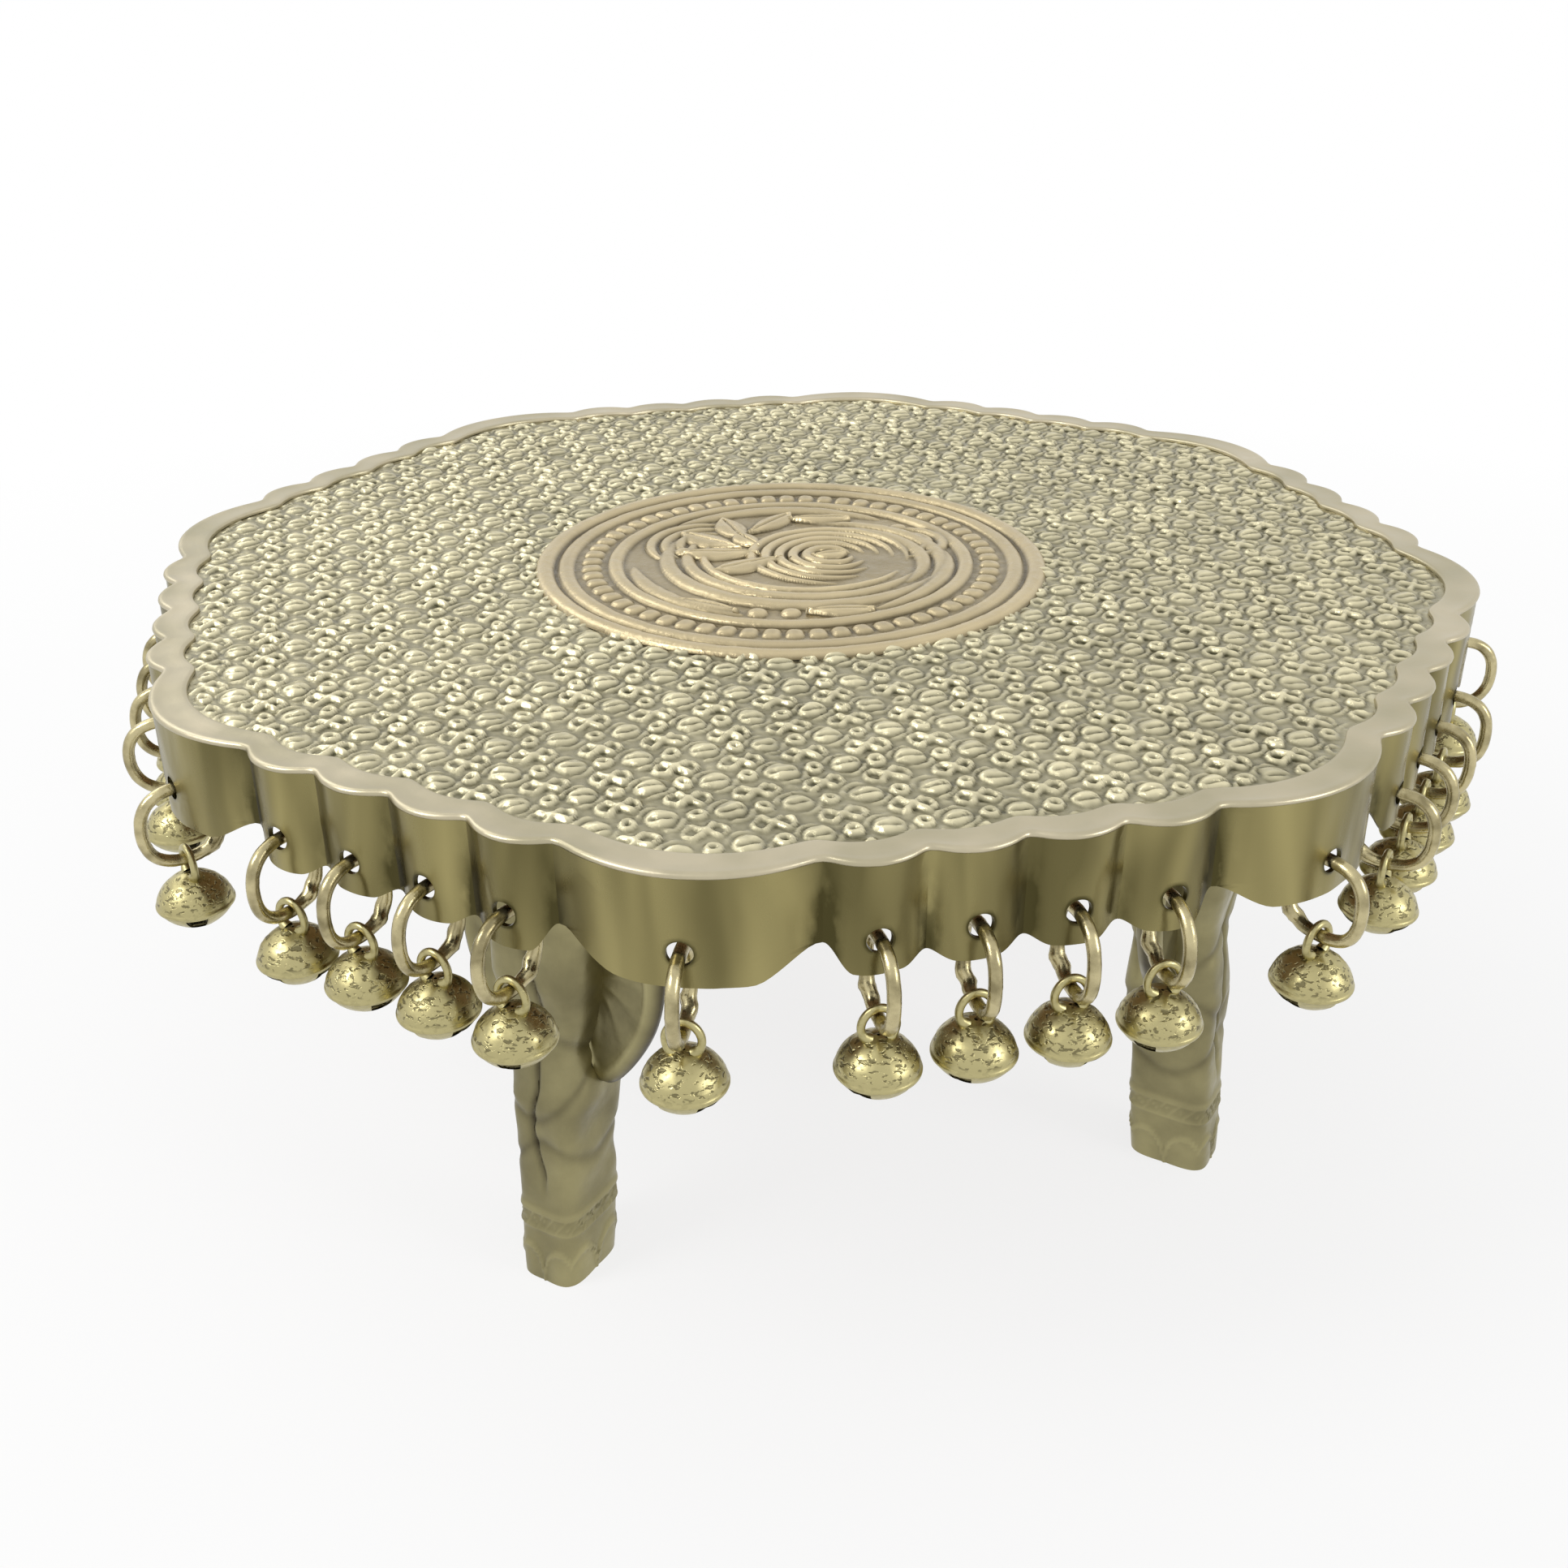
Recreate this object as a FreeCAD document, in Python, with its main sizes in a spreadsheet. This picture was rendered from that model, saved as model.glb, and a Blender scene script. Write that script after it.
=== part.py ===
"""Low eight-sided ceremonial table with a scalloped metal skirt hung with bells.

Frame: origin on the floor under the middle of the top, +Z up, millimetres.
A corner of the top points along -Y.  Forty open wire rings pass through holes
near the lower edge of the skirt, and each carries one closed rattle bell.
"""
import FreeCAD, Part
import math
import os

SIZES = {
    "table_height": 140.0,
    "notch_apothem": 148.0,
    "corner_notch_apothem": 147.0,
    "lobe_tip_apothem": 151.6,
    "corner_tip_radius": 159.0,
    "lobe_pitch": 18.0,
    "border_notch_width": 6.0,
    "border_lobe_width": 7.4,
    "border_overhang": 0.4,
    "border_thickness": 0.6,
    "sheet_thickness": 0.8,
    "board_thickness": 11.0,
    "board_inset": 2.4,
    "skirt_drop": 22.4,
    "skirt_thickness": 0.8,
    "corner_arch_width": 12.0,
    "corner_arch_rise": 5.5,
    "lobe_arch_width": 10.0,
    "lobe_arch_rise": 2.0,
    "hole_drop": 15.6,
    "hole_diameter": 4.6,
    "cut_overrun": 4.0,
    "medallion_radius": 61.5,
    "relief_radius": 47.5,
    "moulding_width": 3.0,
    "moulding_rise": 0.9,
    "ring_diameter": 18.6,
    "ring_wire": 2.6,
    "ring_slack": 0.2,
    "ring_gap": 0.6,
    "bell_diameter": 14.5,
    "bell_dome_height": 7.3,
    "bell_cone_depth": 4.7,
    "bell_base_radius": 3.8,
    "bell_crown_radius": 2.4,
    "bell_drop": 10.3,
    "slot_width": 4.4,
    "slot_height": 2.8,
    "slot_drop": 0.5,
    "pellet_size": 2.2,
    "pellet_clearance": 0.2,
    "loop_width": 7.7,
    "loop_wire": 1.9,
    "loop_lift": 2.5,
    "leg_foot_radius": 109.0,
    "leg_top_radius": 99.0,
    "leg_depth": 20.5,
    "leg_width": 16.5,
    "leg_corner": 4.0,
    "cladding_thickness": 1.2,
    "ear_reach": 26.0,
    "ear_top": 99.0,
    "ear_bottom": 52.0,
    "ear_thickness": 5.0,
    "ear_setback": 2.0,
    "bolt_radius": 2.6,
    "bolt_length": 40.0,
    "bolt_head_radius": 5.0,
    "bolt_head_height": 3.0,
    "bolt_clearance": 0.15,
}

SIDES = 8
LOBES_PER_SIDE = 4
LOBE_FACETS = 3
CORNER_FACETS = 5
MOULDING_FACETS = 24
SIDE_STEP = 360.0 / SIDES
FIRST_CORNER_ANGLE = -90.0
FIRST_SIDE_ANGLE = FIRST_CORNER_ANGLE + SIDE_STEP / 2
FRONT_SIDES = (0, 7)
LEG_ANGLES = (-112.5, -22.5, 67.5, 157.5)

# Levels that several pieces share.
SHEET_TOP = "Sizes.table_height - Sizes.border_thickness"
BOARD_TOP = f"{SHEET_TOP} - Sizes.sheet_thickness"
HOLE_SIDES = 6
RING_SIDES = 8
WIRE_SIDES = 5
BELL_SIDES = 8
BOLT_SIDES = 6

# Bell outline above its widest edge: share of the dome height, share of the bell radius.
DOME_SHARES = ((0.62, 0.8),)

# Drop from the loop's top to its shoulders, as a share of half its width.
LOOP_SHOULDER_SHARE = 0.6

# Leg outline: share of the leg height, share of the depth, share of the width.
LEG_SHARES = (
    (0.0, 1.02, 1.0),
    (0.03, 1.12, 1.14),
    (0.11, 1.0, 1.0),
    (0.24, 1.0, 1.0),
    (0.38, 1.16, 1.14),
    (0.48, 1.0, 1.05),
    (0.62, 1.3, 1.35),
    (0.82, 1.34, 1.5),
    (1.0, 1.1, 1.4),
)

# Core outline: the same shares at fewer heights.
CORE_SHARES = ((0.24, 1.0, 1.0), (0.5, 1.0, 1.0), (1.0, 1.1, 1.4))

# Ear outline: share of the ear's reach, share of its height.
EAR_SHARES = ((0.3, 0.98), (0.72, 1.0), (1.0, 0.7), (0.9, 0.34), (0.5, 0.0), (0.3, 0.1))

Y_AXIS = FreeCAD.Vector(0, 1, 0)
Z_AXIS = FreeCAD.Vector(0, 0, 1)


def make_sheet(doc):
    """Write the driving dimensions into a spreadsheet, one alias each."""
    sheet = doc.addObject("Spreadsheet::Sheet", "Sizes")
    for row, (alias, value) in enumerate(SIZES.items(), start=1):
        sheet.set(f"A{row}", alias)
        sheet.set(f"B{row}", str(value))
        sheet.setAlias(f"B{row}", alias)
    doc.recompute()
    return sheet


def bind(obj, **expressions):
    """Tie properties to expressions; a double underscore stands for a dot."""
    for name, expression in expressions.items():
        obj.setExpression(name.replace("__", "."), expression)
    return obj


def add(doc, kind, label, **expressions):
    """Add an object of one kind with its sizes bound to the sheet."""
    obj = doc.addObject(kind, label)
    obj.Label = label
    return bind(obj, **expressions)


def add_shape(doc, label, shape, placement=None):
    """Add an object that carries a finished shape at its own placement."""
    obj = doc.addObject("Part::Feature", label)
    obj.Label = label
    obj.Shape = shape
    if placement is not None:
        obj.Placement = placement
    return obj


def add_cut(doc, label, base, tool):
    """Take one object away from another."""
    cut = doc.addObject("Part::Cut", label)
    cut.Label = label
    cut.Base = base
    cut.Tool = tool
    return cut


def turn(degrees, axis=Z_AXIS):
    """Return a rotation about an axis."""
    return FreeCAD.Rotation(axis, degrees)


def spin(degrees):
    """Return a placement that turns about the table's own axis."""
    return FreeCAD.Placement(FreeCAD.Vector(), turn(degrees))


def side_angle(side):
    """Return the direction that one side faces."""
    return FIRST_SIDE_ANGLE + side * SIDE_STEP


def corner_angle(corner):
    """Return the direction of one corner."""
    return FIRST_CORNER_ANGLE + corner * SIDE_STEP


def faceted_solid(outlines):
    """Return the solid through level outlines with equal numbers of corners, in flat faces."""
    faces = [Part.Face(Part.makePolygon(ring + ring[:1])) for ring in (outlines[0], outlines[-1])]
    for lower, upper in zip(outlines, outlines[1:]):
        for a, b, c, d in zip(lower, lower[1:] + lower[:1], upper[1:] + upper[:1], upper):
            quad = Part.makePolygon([a, b, c, d, a])
            if quad.findPlane() is not None:
                faces.append(Part.Face(quad))
            else:
                faces.append(Part.Face(Part.makePolygon([a, b, c, a])))
                faces.append(Part.Face(Part.makePolygon([a, c, d, a])))
    return Part.Solid(Part.Shell(faces))


def lobe_offsets(sheet):
    """Return the places of the small lobes along one side."""
    middle = (LOBES_PER_SIDE - 1) / 2
    return [(index - middle) * sheet.lobe_pitch for index in range(LOBES_PER_SIDE)]


def notch_offsets(sheet):
    """Return the places of the notches along one side, corner notches included."""
    middle = LOBES_PER_SIDE / 2
    return [(index - middle) * sheet.lobe_pitch for index in range(LOBES_PER_SIDE + 1)]


def side_points(sheet, notch, corner_notch, lobe_tip, corner_tip):
    """Return points along one side's lobes and the corner lobe after it, facing +X."""
    notches = notch_offsets(sheet)
    heights = [corner_notch] + [notch] * (len(notches) - 2) + [corner_notch]
    ends = [FreeCAD.Vector(x, y, 0) for x, y in zip(heights, notches)]
    tips = [FreeCAD.Vector(lobe_tip, y, 0) for y in lobe_offsets(sheet)]
    corner = turn(SIDE_STEP / 2).multVec(FreeCAD.Vector(corner_tip, 0, 0))
    following = turn(SIDE_STEP).multVec(ends[0])
    arcs = [(a, tip, b, LOBE_FACETS) for a, tip, b in zip(ends, tips, ends[1:])]
    arcs.append((ends[-1], corner, following, CORNER_FACETS))
    points = []
    for start, middle, end, facets in arcs:
        points += Part.Arc(start, middle, end).toShape().discretize(facets + 1)[:-1]
    return points


def scalloped_outline(sheet, notch, corner_notch, lobe_tip, corner_tip):
    """Return the corners of the top's outline at height zero, its lobes in short flats."""
    points = side_points(sheet, notch, corner_notch, lobe_tip, corner_tip)
    return [turn(side_angle(side)).multVec(point) for side in range(SIDES) for point in points]


def outer_outline(sheet):
    """Return the outline of the skirt's outer face."""
    return scalloped_outline(
        sheet,
        sheet.notch_apothem,
        sheet.corner_notch_apothem,
        sheet.lobe_tip_apothem,
        sheet.corner_tip_radius,
    )


def border_outline(sheet):
    """Return the inner outline of the flat border."""
    return scalloped_outline(
        sheet,
        sheet.notch_apothem - sheet.border_notch_width,
        sheet.corner_notch_apothem - sheet.border_notch_width,
        sheet.lobe_tip_apothem - sheet.border_lobe_width,
        sheet.corner_tip_radius - sheet.border_lobe_width,
    )


def shifted_outline(points, distance):
    """Return an outline moved outwards by one distance, its corners mitred."""
    shifted = []
    for before, point, after in zip(points[-1:] + points[:-1], points, points[1:] + points[:1]):
        first = Z_AXIS.cross(before - point).normalize()
        second = Z_AXIS.cross(point - after).normalize()
        shifted.append(point + (first + second) * (distance / (1 + first.dot(second))))
    return shifted


def band_face(outer, inner):
    """Return the flat face between two closed outlines."""
    faces = [Part.Face(Part.makePolygon(points + points[:1])) for points in (outer, inner)]
    return faces[0].cut(faces[1]).Faces[0]


def make_board(doc):
    """Wooden board under the sheet, with a hole for each leg bolt."""
    blank = add(
        doc, "Part::Prism", "board_blank",
        Circumradius=f"(Sizes.notch_apothem - Sizes.board_inset) / cos({SIDE_STEP / 2})",
        Height="Sizes.board_thickness",
        Placement__Base__z=f"{BOARD_TOP} - Sizes.board_thickness",
    )
    blank.Polygon = SIDES
    doc.recompute()
    holes = add_bolts(doc, "board_bolt_holes", "Sizes.bolt_clearance")
    return add_cut(doc, "wood_board", blank, holes)


def add_moulding(doc, name, radius):
    """Raised ring on the sheet, many-sided."""
    discs = []
    for part, reach in (("outer", radius), ("inner", f"({radius} - Sizes.moulding_width)")):
        disc = add(
            doc, "Part::Prism", f"{name}_{part}",
            Circumradius=reach,
            Height="Sizes.moulding_rise",
            Placement__Base__z=SHEET_TOP,
        )
        disc.Polygon = MOULDING_FACETS
        discs.append(disc)
    return add_cut(doc, name, *discs)


def make_top_sheet(doc):
    """Embossed sheet on the board, with the medallion's raised mouldings."""
    plate = add(
        doc, "Part::Prism", "top_plate",
        Circumradius=f"(Sizes.notch_apothem - Sizes.board_inset) / cos({SIDE_STEP / 2})",
        Height="Sizes.sheet_thickness",
        Placement__Base__z=BOARD_TOP,
    )
    plate.Polygon = SIDES
    sheet = doc.addObject("Part::MultiFuse", "top_sheet")
    sheet.Label = "top_sheet"
    sheet.Shapes = [
        plate,
        add_moulding(doc, "medallion_moulding", "Sizes.medallion_radius"),
        add_moulding(doc, "relief_moulding", "Sizes.relief_radius"),
    ]
    return sheet


def make_border(doc, sheet):
    """Flat smooth border over the edge of the sheet and the top of the skirt."""
    outer = shifted_outline(outer_outline(sheet), sheet.border_overhang)
    face = add_shape(doc, "border_face", band_face(outer, border_outline(sheet)))
    border = add(
        doc, "Part::Extrusion", "rim_border",
        LengthFwd="Sizes.border_thickness",
        Placement__Base__z=SHEET_TOP,
    )
    border.Base = face
    border.DirMode = "Custom"
    border.Dir = Z_AXIS
    border.Solid = True
    return border


def hanging_groups(sheet):
    """Name the rings and bells that share a node, and give their skirt holes in its frame."""
    half = sheet.skirt_thickness / 2
    height = sheet.table_height - sheet.hole_drop
    corner = FreeCAD.Placement(FreeCAD.Vector(sheet.corner_tip_radius - half, 0, height), turn(0))
    lobes = [
        FreeCAD.Placement(FreeCAD.Vector(sheet.lobe_tip_apothem - half, offset, height), turn(0))
        for offset in lobe_offsets(sheet)
    ]
    groups = [(f"corner_{index + 1}", [corner], corner_angle(index)) for index in range(SIDES)]
    for side in range(SIDES):
        if side in FRONT_SIDES:
            for index, lobe in enumerate(lobes):
                groups.append((f"side_{side + 1}_{index + 1}", [lobe], side_angle(side)))
        else:
            groups.append((f"side_{side + 1}", lobes, side_angle(side)))
    return groups


def hole_places(sheet):
    """Return a placement for each skirt hole: +X outward, on the skirt's middle."""
    groups = hanging_groups(sheet)
    return [spin(angle).multiply(place) for _, places, angle in groups for place in places]


def copies(master, places):
    """Return one compound of the master's shape at each place."""
    shapes = []
    for place in places:
        shape = master.Shape.copy()
        shape.Placement = place.multiply(shape.Placement)
        shapes.append(shape)
    return Part.makeCompound(shapes)


def add_hole_punch(doc):
    """Many-sided punch along X with a flat side down, for one ring hole."""
    punch = add(
        doc, "Part::Prism", "hole_punch",
        Circumradius=f"Sizes.hole_diameter / 2 / cos({180.0 / HOLE_SIDES})",
        Height="Sizes.skirt_thickness + 2 * Sizes.cut_overrun",
        Placement__Base__x="-Sizes.skirt_thickness / 2 - Sizes.cut_overrun",
    )
    punch.Polygon = HOLE_SIDES
    punch.Placement.Rotation = turn(90, Y_AXIS).multiply(turn(180.0 / HOLE_SIDES))
    return punch


def arch_shape(sheet, width, rise):
    """Return the cutter for one arch in the skirt's lower edge, standing at its foot."""
    half = width / 2
    depth = 2 * sheet.cut_overrun
    corners = ((-half, -rise), (-half, 0), (-half / 2, rise), (half / 2, rise), (half, 0), (half, -rise))
    points = [FreeCAD.Vector(-depth, y, z) for y, z in corners]
    outline = Part.makePolygon(points + points[:1])
    return Part.Face(outline).extrude(FreeCAD.Vector(2 * depth, 0, 0))


def make_skirt(doc, sheet):
    """Thin scalloped band with a hole in each lobe and an arch below each notch."""
    outer = outer_outline(sheet)
    inner = shifted_outline(outer, -sheet.skirt_thickness)
    face = add_shape(doc, "skirt_face", band_face(outer, inner))
    band = add(
        doc, "Part::Extrusion", "skirt_blank",
        LengthFwd="Sizes.skirt_drop - Sizes.border_thickness",
        Placement__Base__z="Sizes.table_height - Sizes.skirt_drop",
    )
    band.Base = face
    band.DirMode = "Custom"
    band.Dir = Z_AXIS
    band.Solid = True
    punch = add_hole_punch(doc)
    doc.recompute()
    foot = sheet.table_height - sheet.skirt_drop
    corner_arch = arch_shape(sheet, sheet.corner_arch_width, sheet.corner_arch_rise)
    lobe_arch = arch_shape(sheet, sheet.lobe_arch_width, sheet.lobe_arch_rise)
    notches = notch_offsets(sheet)
    tools = [copies(punch, hole_places(sheet))]
    for side in range(SIDES):
        for offset in notches:
            at_corner = offset in (notches[0], notches[-1])
            shape = (corner_arch if at_corner else lobe_arch).copy()
            point = FreeCAD.Vector(sheet.notch_apothem, offset, foot)
            shape.Placement = spin(side_angle(side)).multiply(FreeCAD.Placement(point, turn(0)))
            tools.append(shape)
    cutters = add_shape(doc, "skirt_cutters", Part.makeCompound(tools))
    return add_cut(doc, "skirt_band", band, cutters)


def leg_top(sheet):
    """Return the height of the board's underside, where the legs end."""
    covers = sheet.border_thickness + sheet.sheet_thickness + sheet.board_thickness
    return sheet.table_height - covers


def leg_section(sheet, share, inset, corner, foot):
    """Return the corners of one level outline of a leg, cut off or square."""
    height_share, depth_share, width_share = share
    half_depth = sheet.leg_depth * depth_share / 2 - inset
    half_width = sheet.leg_width * width_share / 2 - inset
    centre = sheet.leg_foot_radius + (sheet.leg_top_radius - sheet.leg_foot_radius) * height_share
    height = max(leg_top(sheet) * height_share, foot)
    points = []
    for sign_x, sign_y in ((1, -1), (1, 1), (-1, 1), (-1, -1)):
        x, y = centre + sign_x * half_depth, sign_y * half_width
        cut = [
            FreeCAD.Vector(x - sign_x * corner, y, height),
            FreeCAD.Vector(x, y - sign_y * corner, height),
        ]
        if not corner:
            points.append(cut[0])
        elif sign_x * sign_y < 0:
            points += cut
        else:
            points += cut[::-1]
    return points


def leg_solid(sheet, shares, inset, corner, foot):
    """Return a leg, or the core inside it, facing +X."""
    return faceted_solid([leg_section(sheet, share, inset, corner, foot) for share in shares])


def ear_shape(sheet, sign):
    """Return one flat ear of the elephant head that crowns a leg."""
    height = sheet.ear_top - sheet.ear_bottom
    middle = (sheet.ear_top + sheet.ear_bottom) / 2 / leg_top(sheet)
    centre = sheet.leg_foot_radius + (sheet.leg_top_radius - sheet.leg_foot_radius) * middle
    points = [
        FreeCAD.Vector(
            centre - sheet.ear_setback,
            sign * sheet.ear_reach * reach_share,
            sheet.ear_bottom + height * height_share,
        )
        for reach_share, height_share in EAR_SHARES
    ]
    outline = Part.makePolygon(points + points[:1])
    return Part.Face(outline).extrude(FreeCAD.Vector(sheet.ear_thickness, 0, 0))


def add_bolt(doc, name, clearance):
    """One leg bolt with its head under the sheet, or the hole that takes it."""
    parts = []
    for part, size, length in (("shank", "bolt", "bolt_length"), ("head", "bolt_head", "bolt_head_height")):
        prism = add(
            doc, "Part::Prism", f"{name}_{part}",
            Circumradius=f"Sizes.{size}_radius + {clearance}",
            Height=f"Sizes.{length} + {clearance}",
            Placement__Base__x="Sizes.leg_top_radius",
            Placement__Base__z=f"{BOARD_TOP} - Sizes.{length} - {clearance}",
        )
        prism.Polygon = BOLT_SIDES
        parts.append(prism)
    bolt = doc.addObject("Part::Fuse", f"{name}_bolt")
    bolt.Base, bolt.Tool = parts
    return bolt


def add_bolts(doc, name, clearance):
    """Bolts with their heads sunk in the board, or the holes that take them."""
    bolt = add_bolt(doc, name, clearance)
    doc.recompute()
    return add_shape(doc, name, copies(bolt, [spin(angle) for angle in LEG_ANGLES]))


def make_legs(doc, sheet):
    """Four legs: a wooden core in an embossed metal cladding with an elephant head."""
    thickness = sheet.cladding_thickness
    outer = add_shape(doc, "leg_outer", leg_solid(sheet, LEG_SHARES, 0, sheet.leg_corner, 0))
    core_solid = leg_solid(sheet, CORE_SHARES, 2 * thickness, 0, thickness)
    core = add_shape(doc, "leg_core_blank", core_solid)
    ears = [
        add_shape(doc, f"ear_{name}", ear_shape(sheet, sign))
        for name, sign in (("left", -1), ("right", 1))
    ]
    shell = doc.addObject("Part::MultiFuse", "leg_shell")
    shell.Shapes = [outer] + ears
    cladding = add_cut(doc, "leg_cladding_master", shell, core)
    hole = add(
        doc, "Part::Prism", "leg_bolt_hole",
        Circumradius="Sizes.bolt_radius + Sizes.bolt_clearance",
        Height="Sizes.bolt_length + Sizes.bolt_clearance",
        Placement__Base__x="Sizes.leg_top_radius",
        Placement__Base__z=f"{BOARD_TOP} - Sizes.bolt_length - Sizes.bolt_clearance",
    )
    hole.Polygon = BOLT_SIDES
    drilled = add_cut(doc, "leg_core_master", core, hole)
    doc.recompute()
    nodes = []
    for number, angle in enumerate(LEG_ANGLES, start=1):
        nodes.append(add_shape(doc, f"leg_core_{number}", drilled.Shape.copy(), spin(angle)))
        nodes.append(add_shape(doc, f"leg_cladding_{number}", cladding.Shape.copy(), spin(angle)))
    return nodes


def make_ring_master(doc, sheet):
    """Open ring of thick wire, hammered into flats, in the XZ plane round the origin."""
    mean = (sheet.ring_diameter - sheet.ring_wire) / 2
    step = 360.0 / RING_SIDES
    corner_radius = mean / math.cos(math.radians(step / 2))
    gap_angle = -90.0 + step
    corners = []
    for index in range(RING_SIDES):
        angle = math.radians(gap_angle + step * (index + 0.5))
        corners.append(FreeCAD.Vector(corner_radius * math.cos(angle), 0, corner_radius * math.sin(angle)))
    along = (corners[0] - corners[-1]).normalize()
    middle = (corners[0] + corners[-1]) * 0.5
    start = middle + along * (sheet.ring_gap / 2)
    end = middle - along * (sheet.ring_gap / 2)
    path = add_shape(doc, "ring_path", Part.makePolygon([start] + corners + [end]))
    section = add(doc, "Part::RegularPolygon", "ring_section", Circumradius="Sizes.ring_wire / 2")
    section.Polygon = WIRE_SIDES
    section.Placement = FreeCAD.Placement(start, FreeCAD.Rotation(middle.normalize(), Y_AXIS, along, "ZXY"))
    sweep = doc.addObject("Part::Sweep", "ring_master")
    sweep.Sections = [section]
    sweep.Spine = (path, [f"Edge{index + 1}" for index in range(RING_SIDES + 1)])
    sweep.Solid = True
    sweep.Transition = "Right corner"
    return sweep


def bell_outline(radius, height):
    """Return the corners of one level many-sided outline of a bell, a flat facing +X."""
    corner = FreeCAD.Vector(radius, 0, height)
    return [turn(360.0 / BELL_SIDES * (index + 0.5)).multVec(corner) for index in range(BELL_SIDES)]


def bell_body(sheet):
    """Return the lower cone and the dome of a bell, its widest edge at height zero."""
    radius = sheet.bell_diameter / 2
    stations = [(sheet.bell_base_radius, -sheet.bell_cone_depth), (radius, 0)]
    for height_share, radius_share in DOME_SHARES:
        stations.append((radius * radius_share, sheet.bell_dome_height * height_share))
    stations.append((sheet.bell_crown_radius, sheet.bell_dome_height))
    return faceted_solid([bell_outline(*station) for station in stations])


def add_slot(doc):
    """Level slot right through the bell just under its widest edge, open at both ends."""
    return add(
        doc, "Part::Box", "bell_slot",
        Length="Sizes.bell_diameter + 2 * Sizes.cut_overrun",
        Width="Sizes.slot_width",
        Height="Sizes.slot_height",
        Placement__Base__x="-Sizes.bell_diameter / 2 - Sizes.cut_overrun",
        Placement__Base__y="-Sizes.slot_width / 2",
        Placement__Base__z="-Sizes.slot_drop - Sizes.slot_height",
    )


def loop_shape(sheet):
    """Return the pointed wire loop on the bell's crown, round the ring's wire."""
    top = sheet.bell_drop + sheet.loop_lift + sheet.loop_wire / 2
    half = sheet.loop_width / 2
    foot = sheet.bell_dome_height - sheet.loop_wire
    points = []
    for inset in (0, sheet.loop_wire):
        reach = half - inset
        shoulder = top - half * LOOP_SHOULDER_SHARE
        side = [(-reach, foot), (-reach, shoulder), (0, top - inset), (reach, shoulder), (reach, foot)]
        points += side if not inset else side[::-1]
    corners = [FreeCAD.Vector(-sheet.loop_wire / 2, y, z) for y, z in points]
    outline = Part.makePolygon(corners + corners[:1])
    return Part.Face(outline).extrude(FreeCAD.Vector(sheet.loop_wire, 0, 0))


def make_bell_master(doc, sheet):
    """Closed rattle bell with its loop, and the loose pellet that lies in its slot."""
    cup = doc.addObject("Part::Fuse", "bell_cup")
    cup.Base = add_shape(doc, "bell_body", bell_body(sheet))
    cup.Tool = add_shape(doc, "bell_loop", loop_shape(sheet))
    slotted = add_cut(doc, "bell_slotted", cup, add_slot(doc))
    pellet = add(
        doc, "Part::Box", "bell_pellet",
        Length="Sizes.pellet_size",
        Width="Sizes.pellet_size",
        Height="Sizes.pellet_size",
        Placement__Base__x="-Sizes.pellet_size / 2",
        Placement__Base__y="-Sizes.pellet_size / 2",
        Placement__Base__z="-Sizes.slot_drop - Sizes.slot_height + Sizes.pellet_clearance",
    )
    master = doc.addObject("Part::Compound", "bell_master")
    master.Links = [slotted, pellet]
    return master


def make_hangings(doc, sheet):
    """Every ring through its skirt hole and every bell on its ring."""
    ring = make_ring_master(doc, sheet)
    bell = make_bell_master(doc, sheet)
    doc.recompute()
    mean = (sheet.ring_diameter - sheet.ring_wire) / 2
    ring_shift = FreeCAD.Placement(FreeCAD.Vector(0, 0, -sheet.ring_slack - mean), turn(0))
    bell_shift = FreeCAD.Placement(
        FreeCAD.Vector(0, 0, -sheet.ring_slack - 2 * mean - sheet.bell_drop), turn(0)
    )
    nodes = []
    for name, places, angle in hanging_groups(sheet):
        for kind, master, shift in (("ring", ring, ring_shift), ("bell", bell, bell_shift)):
            shape = copies(master, [place.multiply(shift) for place in places])
            nodes.append(add_shape(doc, f"{kind}_{name}", shape, spin(angle)))
    return nodes


def check(doc, nodes):
    """Stop if any object failed or any piece is missing or not valid."""
    for obj in doc.Objects:
        if "Invalid" in obj.State or "Error" in obj.State:
            raise RuntimeError(f"{obj.Label} failed to build")
    for node in nodes:
        if node.Shape.isNull() or not node.Shape.isValid() or not node.Shape.Solids:
            raise RuntimeError(f"{node.Label} has no valid solid")


def export(nodes):
    """Write each piece to its own file."""
    os.makedirs("parts", exist_ok=True)
    for node in nodes:
        node.Shape.exportStep(f"parts/{node.Label}.step")


def main():
    doc = FreeCAD.newDocument("BajotTable")
    sheet = make_sheet(doc)
    nodes = [
        make_board(doc),
        make_top_sheet(doc),
        make_border(doc, sheet),
        make_skirt(doc, sheet),
        add_bolts(doc, "leg_bolts", "0"),
    ]
    nodes += make_legs(doc, sheet)
    nodes += make_hangings(doc, sheet)
    doc.recompute()
    check(doc, nodes)
    export(nodes)


main()
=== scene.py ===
"""Looks of a low eight-sided ceremonial table: pressed silver top, brass skirt, rings and bells.

Lengths are in millimetres until a mesh is made.  The origin is on the floor under the
middle of the top, +Z is up, and a corner of the top points along -Y.
"""
import math
import bpy
import numpy as np
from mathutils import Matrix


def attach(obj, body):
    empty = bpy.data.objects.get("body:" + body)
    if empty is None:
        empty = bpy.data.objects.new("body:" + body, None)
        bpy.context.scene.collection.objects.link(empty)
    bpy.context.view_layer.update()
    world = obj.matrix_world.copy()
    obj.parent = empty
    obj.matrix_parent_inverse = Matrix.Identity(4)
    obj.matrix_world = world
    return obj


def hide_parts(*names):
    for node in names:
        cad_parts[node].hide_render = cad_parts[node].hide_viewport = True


MM = 0.001
SIDES = 8
SIDE_STEP = 360.0 / SIDES
FIRST_CORNER_ANGLE = -90.0
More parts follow.
